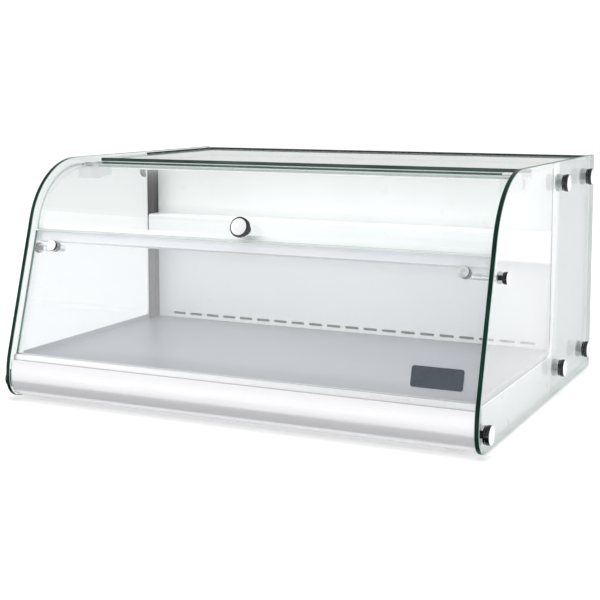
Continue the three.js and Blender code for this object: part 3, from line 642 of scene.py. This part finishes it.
# Chrome for the faces, and for the barrels a copy with a painted dark reflection.
CHROME = finishes("chrome", "chrome_barrel_painted_reflection")

# Glass, in the order of the face, side, arris and fourth slots. The edge copies paint light and shade onto
# the edges: the flap's edges are painted lit, its rear edge darker.
GLASS = finishes("glass", "edge", "arris", "edge_painted_lit")
MILKY_GLASS = finishes("glass_milky", "edge_mid", "arris", "edge_painted_lit")
TOP_GLASS = finishes("glass_pale", "edge_grey", "edge", "edge_painted_lit")
FLAP_GLASS = finishes("glass_pale", "edge_painted_lit", "edge_painted_lit", "edge_mid")

# ---------- glass

BOLTS = ("top_mid", "top_rear", "bottom_mid", "bottom_rear", "nose")
BOLT_HOLE_R = 6 * MM
CLAMP_HOLE_R = 4 * MM


def glass_sheet(node, outline, thickness, place, materials, pale, holes=(), edge=0.5 * MM):
    """A flat pane with polished edges, which are painted pale, as lit edges, where pale(start, end) says so.
    """
    pane = prism(
        f"{node}_sheet", outline, thickness, place, materials,
        holes=holes, edge=edge, indices=(FACE, SIDE, ARRIS, PAINTED_LIGHTING), pale=pale,
    )
    fit(pane, node)


def away_from_front(start, end):
    """True on the top, rear and bottom edges of a side glass, which are painted lighter, as lit edges."""
    return min(start.x, end.x) > ROOF_CENTRE.x or max(start.y, end.y) < BOTTOM + 1 * MM


def build_side_glasses():
    """The shaped glasses, with a hole for each bolt."""
    outline = [Vector((DEPTH, BOTTOM))] + front_outline() + [Vector((DEPTH, HEIGHT))]
    for name, side in SIDES.items():
        holes = [circle(*centre(f"glass_bolt_{place}_{name}").yz, BOLT_HOLE_R) for place in BOLTS]
        holes.append(circle(*centre(f"clamp_bolt_{name}").yz, CLAMP_HOLE_R))
        x = SIDE_IN if side > 0 else -SIDE_OUT
        glass_sheet(
            f"side_glass_{name}", outline, SIDE_OUT - SIDE_IN, from_side(x), GLASS,
            away_from_front, holes, 0.7 * MM,
        )


def up_slope(up, back):
    """Distance up the slope of a point at this height and this far behind the outline."""
    return (up - SLOPE_FOOT.y + back * SINE) / COSINE


def build_lower_pane():
    """The fixed pane that leans back, with a hole for each clamp."""
    low, high = local("lower_pane")
    half = high.x
    bottom = up_slope(low.z, PANE_INSET + PANE)
    top = up_slope(high.z, PANE_INSET)
    clamp_x = centre("pane_disc_right").x
    holes = [circle(x, CLAMP_UP, CLAMP_HOLE_R) for x in (-clamp_x, clamp_x)]
    glass_sheet(
        "lower_pane", rectangle((-half, half), (bottom, top)), PANE, from_front_plane(PANE_INSET + PANE),
        MILKY_GLASS, lambda start, end: start.y == end.y, holes,
    )


def build_top_glass():
    """The flat glass over the case, narrower at the back, between the liners."""
    low, high = local("top_glass")
    inner = local("led_diffuser")[1].x
    step = local("end_liner_right")[0].y - 2.5 * MM
    outline = [
        (low.x, low.y), (high.x, low.y), (high.x, step), (inner, step),
        (inner, high.y), (-inner, high.y), (-inner, step), (low.x, step),
    ]
    glass_sheet(
        "top_glass", outline, high.z - low.z, from_above(low.z), TOP_GLASS,
        lambda start, end: max(start.y, end.y) > low.y + MM,
    )


def build_flap():
    """The curved flap: straight at its foot, round over the shoulder, flat to the hinges."""
    low, high = local("flap_glass")
    radius = ROOF_R - FLAP_INSET
    lean = math.degrees(LEAN)
    foot_up = low.z + FLAP * SINE
    foot = Vector((SLOPE_FOOT.x + (foot_up - SLOPE_FOOT.y) * math.tan(LEAN) + FLAP_INSET / COSINE, foot_up))
    notch = local("hinge_clip_right")[0].y + 12 * MM
    stations = [foot] + arc(ROOF_CENTRE, radius, 180 - lean, 90, 36)
    stations += [Vector((notch, high.z)), Vector((high.y, high.z))]
    outer = high.x
    inner = local("hinge_clip_right")[1].x - 3.8 * MM
    columns = (-outer, -inner, inner, outer)
    bm = bmesh.new()
    rows = [[bm.verts.new(world(x, *point)) for x in columns] for point in stations]
    for first, second in zip(rows, rows[1:]):
        strips = (1,) if second is rows[-1] else (0, 1, 2)  # the last stretch has notches at both ends
        for k in strips:
            bm.faces.new((first[k], first[k + 1], second[k + 1], second[k]))
    for corner in (rows[-1][0], rows[-1][-1]):
        bm.verts.remove(corner)
    flap = new_object("flap_sheet", bm, FLAP_GLASS)
    if flap.data.polygons[0].normal.y > 0:
        flap.data.flip_normals()
    solid = flap.modifiers.new("inwards", "SOLIDIFY")
    solid.thickness = FLAP
    solid.offset = -1
    solid.use_even_offset = True
    solid.material_offset_rim = SIDE
    baked(flap)
    add_bevel(flap, 0.4 * MM, 1, 40).material = ARRIS
    baked(flap)
    # The rear edge takes the fourth slot, a darker copy of the flap's pale edge: painted shade.
    for face in flap.data.polygons:
        if face.material_index == SIDE and face.normal.y > 0.9:
            face.material_index = PAINTED_LIGHTING
    fit(weighted(flap), "flap_glass", "flap")


# ---------- fixings of the glass

def headed(shank, reach, *head):
    """The profile of a shank that reaches inwards from its seat, and of the head on it."""
    return [(0, -reach), (shank, -reach), (shank, GAP), *head]


def build_bolts():
    """A cap with a washer behind it, on a plain shank."""
    shank, height = 4 * MM, 11 * MM
    for name, side in SIDES.items():
        for place in BOLTS:
            node = f"glass_bolt_{place}_{name}"
            low, high = local(node)
            radius = (high.z - low.z) / 2
            washer, waist = radius - 1 * MM, radius - 2.4 * MM
            profile = headed(
                shank, high.x - low.x - height, (washer, GAP), (washer, 3.2 * MM), (waist, 3.4 * MM),
                (waist, 4.2 * MM), (radius, 4.4 * MM), (radius, height), (0, height),
            )
            seat = world(side * SIDE_OUT, *centre(node).yz)
            bolt = turned(f"{node}_cap", fillet(profile, 0.8 * MM), pointing(seat, side * X), CHROME, 48)
            fit(bolt, node)


CLAMP_HEAD_R = 9.25 * MM  # of the flange behind the pane and the disc in front of it


def build_clamp_bar(name, side):
    """A bent bar from the side glass to the pane, with a collar at its foot and a flange at its tip."""
    radius, bend, steps = 6.25 * MM, 9 * MM, 8
    head, thick, slant = CLAMP_HEAD_R, 5 * MM, 0.6 * MM
    flange = [
        (0, 0), (head - 0.4 * MM, 0), (head, slant),
        (head, thick - slant), (head - slant, thick), (0, thick),
    ]
    collar = [(0, 0), (radius, 0), (radius, 6 * MM), (radius - slant, 6.6 * MM), (0, 6.6 * MM)]
    x = centre(f"pane_disc_{name}").x
    start = on_front(side * (SIDE_IN - GAP), CLAMP_UP, CLAMP_BACK)
    corner = on_front(x, CLAMP_UP, CLAMP_BACK)
    tip = on_front(x, CLAMP_UP, PANE_INSET + PANE + GAP)
    inwards, forwards = (corner - start).normalized(), (tip - corner).normalized()
    middle = corner + (forwards - inwards) * bend
    route = [start]
    for i in range(steps + 1):
        angle = math.pi / 2 * i / steps
        route.append(middle + bend * (inwards * math.sin(angle) - forwards * math.cos(angle)))
    route.append(tip - forwards * thick)
    bm = bmesh.new()
    add_pipe(bm, route, radius - slant, 28)
    add_turned(bm, fillet(flange, 0.3 * MM), pointing(route[-1], forwards), indices=(0, 1))
    add_turned(bm, fillet(collar, 0.4 * MM), pointing(start, inwards))
    clamp = new_object(f"pane_clamp_{name}_bar", bm, CHROME, sharp=ROUND_CREASE)
    fit(clamp, f"pane_clamp_{name}")


def build_pane_disc(name):
    """The clamp's round head in front of the pane."""
    head, thick = CLAMP_HEAD_R, 4.3 * MM
    profile = headed(3 * MM, 18 * MM, (head, GAP), (head, thick), (0, thick))
    seat = on_front(centre(f"pane_disc_{name}").x, CLAMP_UP, PANE_INSET)
    place = pointing(seat, OUT_OF_FRONT)
    disc = turned(f"pane_disc_{name}_cap", fillet(profile, 0.5 * MM), place, CHROME)
    fit(disc, f"pane_disc_{name}")


def build_clamp_bolt(name, side):
    """The clamp's cap on the outside of the side glass."""
    cap, height = 9.5 * MM, 8 * MM
    washer = cap - 0.8 * MM
    profile = headed(
        3 * MM, 22 * MM, (washer, GAP), (washer, 2 * MM), (cap, 2.4 * MM), (cap, height), (0, height),
    )
    place = pointing(on_front(side * SIDE_OUT, CLAMP_UP, CLAMP_BACK), side * X)
    bolt = turned(f"clamp_bolt_{name}_cap", fillet(profile, 0.6 * MM), place, CHROME)
    fit(bolt, f"clamp_bolt_{name}")


def build_pane_clamps():
    """Each clamp is one bar, one disc and one bolt."""
    for name, side in SIDES.items():
        build_clamp_bar(name, side)
        build_pane_disc(name)
        build_clamp_bolt(name, side)


def build_knob():
    """A round grip on a foot and a neck."""
    head, foot, neck, height = 16.75 * MM, 10 * MM, 8.5 * MM, 25 * MM
    profile = [
        (0, GAP), (foot, GAP), (foot, 1.8 * MM), (neck, 2.8 * MM),
        (neck, 9 * MM), (neck + 1.6 * MM, 12.4 * MM), (head - 1 * MM, 14.8 * MM), (head, 16.5 * MM),
        (head, height - 2 * MM), (head - 3 * MM, height), (0, height),
    ]
    seat = on_front(0, KNOB_UP, FLAP_INSET)
    knob = turned("flap_knob_grip", fillet(profile, 0.9 * MM, 5), pointing(seat, OUT_OF_FRONT), CHROME, 64)
    fit(knob, "flap_knob", "flap")


# ---------- profiles across the front

def swept(name, node, outline, finish, **shape):
    """An outline in the side view, swept over a frame node's whole width."""
    low, high = local(node)
    return prism(name, outline, high.x - low.x, from_side(low.x), finishes(finish), **shape)


def build_apron():
    """The rounded open section at the foot of the front, with screw ports for the nose bolts."""
    low, high = local("front_apron")
    top, rear = high.z, low.y + 31 * MM
    inner = APRON_INSET + APRON_WALL

    def rise(radius, up):
        return 180 - math.degrees(math.asin((up - NOSE_TOP) / radius))

    outer_r, inner_r = BLEND_R - APRON_INSET, BLEND_R - inner
    nose = (NOSE_R, BOTTOM + NOSE_R)
    outline = arc(nose, NOSE_R - APRON_INSET, -90, -180, 24)
    outline += arc((BLEND_R, NOSE_TOP), outer_r, 180, rise(outer_r, top), 8)
    outline += [Vector((rear, top)), Vector((rear, top - APRON_WALL))]
    outline += arc((BLEND_R, NOSE_TOP), inner_r, rise(inner_r, top - APRON_WALL), 180, 8)
    outline += arc(nose, NOSE_R - inner, -180, -90, 24)
    bm = bmesh.new()
    add_prism(bm, outline, high.x - low.x, from_side(low.x), edge=0.3 * MM)
    bolt = centre("glass_bolt_nose_right")
    port, bore = circle(bolt.y, bolt.z, 9 * MM), circle(bolt.y, bolt.z, 4.4 * MM)
    port_length, web_half = 40 * MM, 2 * MM
    for x in (low.x, high.x - port_length):
        add_prism(bm, port, port_length, from_side(x), holes=[bore], edge=0.2 * MM)
    web_foot = BOTTOM + APRON_INSET + 1 * MM
    web = rectangle((bolt.y - web_half, bolt.y + web_half), (web_foot, bolt.z - 8 * MM))
    add_prism(bm, web, high.x - low.x, from_side(low.x), edge=0.2 * MM)
    apron = weighted(new_object("front_apron_section", bm, finishes("aluminium")))
    fit(apron, "front_apron")


def build_cross_rail():
    """A rail with a groove and a fine line along its face."""
    front, back = PANE_INSET + PANE + 0.5 * MM, 40 * MM
    bottom, top = 200 * MM, 228 * MM
    groove, line = 212 * MM, 205 * MM

    def notch(up, half, deep):
        return [(front, up + half), (front + deep, up + half), (front + deep, up - half), (front, up - half)]

    section = [(back, bottom), (back, top), (front, top)]
    section += notch(groove, 1.5 * MM, 2 * MM)
    section += notch(line, 0.4 * MM, 0.5 * MM)
    section.append((front, bottom))
    outline = [SLOPE_FOOT + up * UP_THE_FRONT.yz - behind * OUT_OF_FRONT.yz for behind, up in section]
    rail = swept("cross_rail_section", "cross_rail", outline, "rail", edge=0.2 * MM)
    fit(rail, "cross_rail")


def build_light_bar():
    """The bar under the top glass that carries the lamps."""
    low, high = local("led_bar")
    outline = rectangle((low.y, high.y), (low.z, high.z), 1.5 * MM, 6)
    bar = swept("led_bar_section", "led_bar", outline, "aluminium", edge=0.3 * MM)
    fit(bar, "led_bar")


def build_light_cover():
    """A bowed cover, half an ellipse in section."""
    low, high = local("led_diffuser")
    half, depth = (high.y - low.y) / 2, high.z - low.z
    bow = arc(((low.y + high.y) / 2, high.z), half, -180, 0, 16)
    outline = [Vector((p.x, high.z - (high.z - p.y) * depth / half)) for p in bow]
    cover = swept("led_diffuser_cover", "led_diffuser", outline, "diffuser", edge=0.2 * MM)
    fit(cover, "led_diffuser")


def build_badge():
    """A thin plate on the pane with round corners."""
    low, high = local("badge_plate")
    bottom, height = 14 * MM, 32 * MM
    outline = rectangle((low.x, high.x), (bottom, bottom + height), 4 * MM, 8)
    plate = prism(
        "badge_plate_blank", outline, 0.8 * MM, from_front_plane(PANE_INSET - GAP), finishes("badge"),
        edge=0.3 * MM, steps=2,
    )
    fit(plate, "badge_plate")


# ---------- body

def build_end_panels():
    """A strip at the back and a strip at the bottom, with a round inner corner between them."""
    corner, hole = 30 * MM, 4.5 * MM
    for name in SIDES:
        node = f"end_panel_{name}"
        low, high = local(node)
        front = local(f"end_liner_{name}")[0].y - 0.5 * MM
        outline = [Vector(p) for p in ((low.y, low.z), (high.y, low.z), (high.y, high.z), (front, high.z))]
        outline += arc((front - corner, DECK_TOP + corner), corner, 0, -90, 12)
        outline.append(Vector((low.y, DECK_TOP)))
        holes = [circle(*centre(f"glass_bolt_{place}_{name}").yz, hole, 24) for place in BOLTS[:4]]
        panel = swept(f"{node}_sheet", node, outline, "white", holes=holes, edge=0.4 * MM, steps=2)
        fit(panel, node)


def build_deck():
    """A sheet with turned-up rims at both ends, and a flat rear part behind them."""
    low, high = local("deck_pan")
    sheet, bend, edge = 1.5 * MM, 3 * MM, 0.2 * MM
    rim_end = local("end_liner_right")[0].y - 1 * MM
    half, top, floor = high.x, high.z, low.z + sheet
    outer = [(-half, top), (-half, low.z), (half, low.z), (half, top)]
    inner = [(half - sheet, top), (half - sheet, floor), (-half + sheet, floor), (-half + sheet, top)]
    section = fillet(outer, bend, 5) + fillet(inner, bend - sheet, 5)
    bm = bmesh.new()
    add_prism(bm, section, rim_end - low.y, axes(X, Z, Y, world(0, low.y, 0)), edge=edge)
    plate = rectangle((-half, half), (rim_end - 0.5 * MM, high.y))
    add_prism(bm, plate, sheet, from_above(low.z), edge=edge)
    deck = weighted(new_object("deck_pan_sheet", bm, finishes("stainless")))
    fit(deck, "deck_pan")


def build_bulkhead():
    """The rear wall of the food space, with its fan window and the row of return slots."""
    low, high = local("rear_bulkhead")
    duct = centre("air_duct").z - 0.5 * MM
    window_half, window_rise = 41 * MM, 23 * MM
    holes = [rectangle((-window_half, window_half), (duct - window_rise, duct + window_rise), 3 * MM)]
    count, pitch, half = 20, 38 * MM, 14 * MM
    for i in range(count):
        x = (i - (count - 1) / 2) * pitch
        holes.append(rectangle((x - half, x + half), (69 * MM, 74 * MM), 2.4 * MM))
    wall = prism(
        "rear_bulkhead_sheet", rectangle((low.x, high.x), (low.z, high.z)), high.y - low.y,
        from_behind(low.y), finishes("white"), holes=holes, edge=0.2 * MM,
    )
    fit(wall, "rear_bulkhead")


def build_rear_trim():
    """A dark edge strip pushed on the rear cover's upper lip."""
    high = local("rear_cover")[1]
    lip, reach = 2 * MM, 2.6 * MM
    inside, outside, crown = 0.1 * MM, 0.8 * MM, 0.9 * MM
    front, back, foot = high.y - lip, high.y, high.z - reach
    outline = [
        (front - outside, foot), (front - inside, foot), (front - inside, high.z + inside),
        (back + inside, high.z + inside), (back + inside, foot), (back + outside, foot),
        (back + outside, high.z + crown), (front - outside, high.z + crown),
    ]
    trim = swept("rear_edge_trim", "rear_cover", outline, "trim", edge=0.15 * MM)
    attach(trim, "cabinet")


def add_hood(bm, left, width, up):
    """A pressed hood that falls away over a short stretch at both ends."""
    steps, rise, fall, least = 10, 2.4 * MM, 8 * MM, 0.05
    # Share of the rise, and height in mm
    section = ((0.0, 6.4), (0.5, 5.8), (1.0, 2.6), (0.86, 1.2), (0.7, 2.6), (0.2, 5.4))
    rear = local("rear_cover")[1].y
    rings = []
    for k in range(steps + 1):
        along = width * k / steps
        out = rise * min(1.0, min(along, width - along) / fall + least)
        rings.append([bm.verts.new(world(left + along, rear + out * b, up + u * MM)) for b, u in section])
    add_skin(bm, rings)


def build_louvre_hoods():
    """A hood over each slot of the rear cover, in two fields."""
    pitch = 13
    bm = bmesh.new()
    for left, right, lowest, highest in ((90, 250, 100, 250), (-250, -110, 60, 180)):
        for up in range(lowest, highest + 1, pitch):
            add_hood(bm, left * MM, (right - left) * MM, up * MM)
    hoods = new_object("rear_louvre_hoods", bm, finishes("white"), sharp=40)
    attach(hoods, "cabinet")


def build_cover_screws():
    """Slotted pan-head screws along the top and the foot of the rear cover."""
    low, high = local("rear_cover")
    head_r, margin, slot_depth = 3.6 * MM, 9 * MM, 0.3 * MM
    head = fillet([(0, 0), (head_r, 0), (head_r, 1.2 * MM), (2.4 * MM, 2.2 * MM), (0, 2.3 * MM)], 0.5 * MM)
    slot = rectangle((-2.2 * MM, 2.2 * MM), (-0.35 * MM, 0.35 * MM))
    on_head = Matrix.Translation((0, 0, 2.15 * MM))
    bm = bmesh.new()
    for x in (low.x + margin, low.x / 3, high.x / 3, high.x - margin):
        for up in (low.z + margin, high.z - 22 * MM):
            place = pointing(world(x, high.y, up), Y)
            add_turned(bm, head, place, 20)
            add_prism(bm, slot, slot_depth, place @ on_head, edge=0.05 * MM)
    screws = new_object("rear_cover_screws", bm, finishes("chrome"), sharp=ROUND_CREASE)
    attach(screws, "cabinet")


def build_display_lens():
    """The dark window of the control panel, unlit and blank."""
    rear = local("control_panel")[1].y
    panel = centre("control_panel")
    across = (-panel.x - 49.6 * MM, -panel.x - 6.4 * MM)
    upwards = (panel.z + 0.4 * MM, panel.z + 17.6 * MM)
    outline = rectangle(across, upwards, 1 * MM)
    lens = prism(
        "display_lens", outline, 0.9 * MM, from_behind(rear - 0.95 * MM), finishes("lens"),
        edge=0.2 * MM, steps=2,
    )
    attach(lens, "cabinet")


def build_feet():
    """Round pads that narrow a little downwards."""
    for end in ("front", "rear"):
        for name in SIDES:
            node = f"foot_{end}_{name}"
            low, high = local(node)
            radius, tall = (high.x - low.x) / 2, high.z - low.z
            profile = [
                (0, 0), (radius - 2.4 * MM, 0), (radius - 1.6 * MM, 0.5 * MM),
                (radius, tall - 0.8 * MM), (radius, tall), (0, tall),
            ]
            x, back, _ = centre(node)
            place = pointing(world(x, back, low.z), Z)
            foot = turned(f"{node}_pad", fillet(profile, 0.5 * MM), place, finishes("rubber"))
            fit(foot, node)


def dress_frame_nodes():
    """The frame nodes that keep their shape."""
    nodes_in = {
        "white": ("base_tray", "air_duct", "rear_cover"),
        "aluminium": (
            "pane_channel", "hinge_clip_left", "hinge_clip_right",
            "hinge_bracket_left", "hinge_bracket_right",
        ),
        "liner": ("end_liner_left", "end_liner_right"),
        "foam": ("insulation",),
        "chrome": ("knob_screw",),
        "black": (
            "evaporator_fan_frame", "evaporator_fan_rotor", "condenser_fan_rotor", "control_panel",
            "mains_inlet", "rocker_power", "rocker_light",
        ),
        "button": ("button_set", "button_up", "button_down"),
        "fins": ("evaporator_coil", "condenser"),
        "enamel": ("compressor",),
    }
    for finish, nodes in nodes_in.items():
        for node in nodes:
            dress(node, MATERIALS[finish])


build_side_glasses()
build_lower_pane()
build_top_glass()
build_flap()
build_bolts()
build_pane_clamps()
build_knob()
build_apron()
build_cross_rail()
build_light_bar()
build_light_cover()
build_badge()
build_end_panels()
build_deck()
build_bulkhead()
build_rear_trim()
build_louvre_hoods()
build_cover_screws()
build_display_lens()
build_feet()
dress_frame_nodes()

# ---------- floor, light and camera

CAMERA_PLACE = (0.952, -2.053, 0.532)


def sheet(name, corners, material):
    """A single flat face."""
    bm = bmesh.new()
    bm.faces.new([bm.verts.new(corner) for corner in corners])
    return new_object(name, bm, [material])


def build_floor():
    """White paper that shines a little, and more so far from the case, where it meets the backdrop."""
    half = 9.0
    near, far = (0.8, 0.3), (2.6, 0.44)  # distance and emission
    paper = Finish("floor_paper", (0.8, 0.8, 0.8), 0.85, emission_color=OPAQUE_WHITE)
    paper.mottle(paper.noise(0.6), (0.795, 0.795, 0.795), (0.81, 0.81, 0.81))
    place = paper.node("ShaderNodeTexCoord")
    distance = paper.node("ShaderNodeVectorMath", operation="LENGTH")
    paper.link(place.outputs["Object"], distance.inputs[0])
    lift = paper.ramp(
        distance.outputs["Value"], interpolation_type="SMOOTHSTEP",
        from_min=near[0], from_max=far[0], to_min=near[1], to_max=far[1],
    )
    paper.link(lift, paper.shader.inputs["Emission Strength"])
    corners = [(*p, 0) for p in rectangle((-half, half), (-half, half))]
    floor = sheet("floor", corners, paper.material)


def add_softbox(name, place, target, size, power):
    """An area light that neither the camera nor a mirror sees."""
    lamp = bpy.data.lights.new(name, "AREA")
    lamp.shape = "RECTANGLE"
    lamp.size, lamp.size_y = size
    lamp.energy = power
    box = bpy.data.objects.new(name, lamp)
    box.location = place
    box.rotation_mode = "QUATERNION"
    box.rotation_quaternion = (Vector(target) - Vector(place)).to_track_quat("-Z", "Y")
    box.visible_camera = False
    box.visible_glossy = False
    bpy.context.scene.collection.objects.link(box)


def hide_but_in_reflections(obj):
    """Only glossy rays see the object."""
    obj.visible_camera = False
    obj.visible_diffuse = False
    obj.visible_transmission = False
    obj.visible_shadow = False


def glowing(name):
    """A finish that only shines, and the socket for its strength."""
    finish = Finish(name)
    finish.tree.nodes.remove(finish.shader)
    glow = finish.node("ShaderNodeEmission")
    finish.surface(glow.outputs["Emission"])
    return finish, glow.inputs["Strength"]


def add_pane_card():
    """A card that the lower pane mirrors. It brightens towards its far end, on the left."""
    place, target = Vector((-1.25, -2.15, 1.05)), Vector((0, -0.3, 0.17))
    width, height = 2.6, 1.0
    dim, bright = 0.285, 2.09
    finish, strength = glowing("pane_card")
    along = finish.node("ShaderNodeSeparateXYZ")
    finish.link(finish.node("ShaderNodeTexCoord").outputs["Generated"], along.inputs["Vector"])
    ramp = finish.ramp(along.outputs["X"], interpolation_type="SMOOTHSTEP", to_min=dim, to_max=bright)
    finish.link(ramp, strength)
    outline = rectangle((-width / 2, width / 2), (-height / 2, height / 2))
    card = sheet("pane_card", [(*p, 0) for p in outline], finish.material)
    card.matrix_world = pointing(place, target - place)
    hide_but_in_reflections(card)


def add_side_sheets():
    """Two sheets on the floor at the right, which the right side glass mirrors.

    The bright one whitens the glass before the end panel, and the grey one is mirrored by the glass
    over the panel. They meet on the line of sight that is mirrored at the panel's front edge.
    """
    panel_y = side_view(local("end_liner_right")[0].y, 0)[0]
    across, along = CAMERA_PLACE[0] - SIDE_OUT, panel_y - CAMERA_PLACE[1]

    def on_line(share):
        """The place at this share of the camera's sideways distance."""
        return SIDE_OUT + across * share, panel_y + along * share

    near, far = on_line(0.159), on_line(3.4)
    front, beside = -0.25, SIDE_OUT + 0.01
    bright = [(near[0], front), near, far, (far[0] + 0.5, front)]
    grey = [(beside, panel_y), (beside, 7.0), (far[0], 7.6), far]
    for name, outline, brightness in (("bright_sheet", bright, 1.6), ("grey_sheet", grey, 0.95)):
        finish, strength = glowing(name)
        strength.default_value = brightness
        corners = [(x, y, 0.006) for x, y in outline]
        hide_but_in_reflections(sheet(name, corners, finish.material))


def add_painted_shade_sheet():
    """A dark sheet that only mirrors see, on the floor before the apron: painted shade in the light mirrored
    on the apron's underside.
    """
    finish = Finish("painted_shade_sheet", (0.05, 0.05, 0.055), 0.9)
    span = side_view(-0.1, 0)[0], side_view(0.01, 0)[0]
    corners = [(*p, 0.005) for p in rectangle((-1.4, 0.55), span)]
    hide_but_in_reflections(sheet("painted_shade_sheet", corners, finish.material))


def build_world():
    """White light from all round, and a pure white backdrop."""
    all_round, backdrop = 0.78, 1.02
    world_light = bpy.data.worlds.new("studio")
    bpy.context.scene.world = world_light
    world_light.use_nodes = True
    tree = world_light.node_tree
    tree.nodes.clear()
    output = add_node(tree, "ShaderNodeOutputWorld")
    background = add_node(tree, "ShaderNodeBackground", color=OPAQUE_WHITE)
    path = add_node(tree, "ShaderNodeLightPath")
    level = add_node(tree, "ShaderNodeMapRange", to_min=all_round, to_max=backdrop)
    tree.links.new(path.outputs["Is Camera Ray"], level.inputs["Value"])
    tree.links.new(level.outputs["Result"], background.inputs["Strength"])
    tree.links.new(background.outputs["Background"], output.inputs["Surface"])


def build_lights():
    """The softboxes round the case, and the light of its own lamps: place, target, size and power."""
    add_softbox("overhead", (0.1, -0.1, 2.4), (0, 0.1, 0.1), (2.6, 2.2), 36)
    add_softbox("front_left", (-1.6, -2.2, 1.3), (0, -0.1, 0.15), (1.6, 1.2), 6)
    add_softbox("front", (0.5, -3.0, 1.3), (0, 0, 0.15), (2.4, 1.4), 16)
    add_softbox("right", (2.6, 0.2, 0.3), (0.4, 0.1, 0.05), (1.6, 0.6), 13)
    _, back, up = centre("led_diffuser")
    add_softbox("case_lamps", world(0, back, up - 8 * MM), world(0, back + 0.1, 0), (0.7, 0.02), 0.16)
    add_softbox("case_fill", world(0, 0.11, 0.13), world(0, 0.5, 0.14), (0.7, 0.05), 0.3)


def build_camera():
    """From the right of the front, a little above the top glass, and looking slightly down."""
    azimuth, pitch = math.radians(25.55), math.radians(6.22)
    camera = bpy.data.cameras.new("camera")
    camera.lens = 75.7
    camera.shift_y = -0.12
    stand = bpy.data.objects.new("camera", camera)
    stand.location = CAMERA_PLACE
    level = math.cos(pitch)
    ahead = Vector((-math.sin(azimuth) * level, math.cos(azimuth) * level, -math.sin(pitch)))
    stand.rotation_mode = "QUATERNION"
    stand.rotation_quaternion = ahead.to_track_quat("-Z", "Y")
    bpy.context.scene.collection.objects.link(stand)
    bpy.context.scene.camera = stand


build_floor()
build_world()
build_lights()
add_pane_card()
add_side_sheets()
add_painted_shade_sheet()
build_camera()
bpy.context.scene.view_settings.view_transform = "Standard"
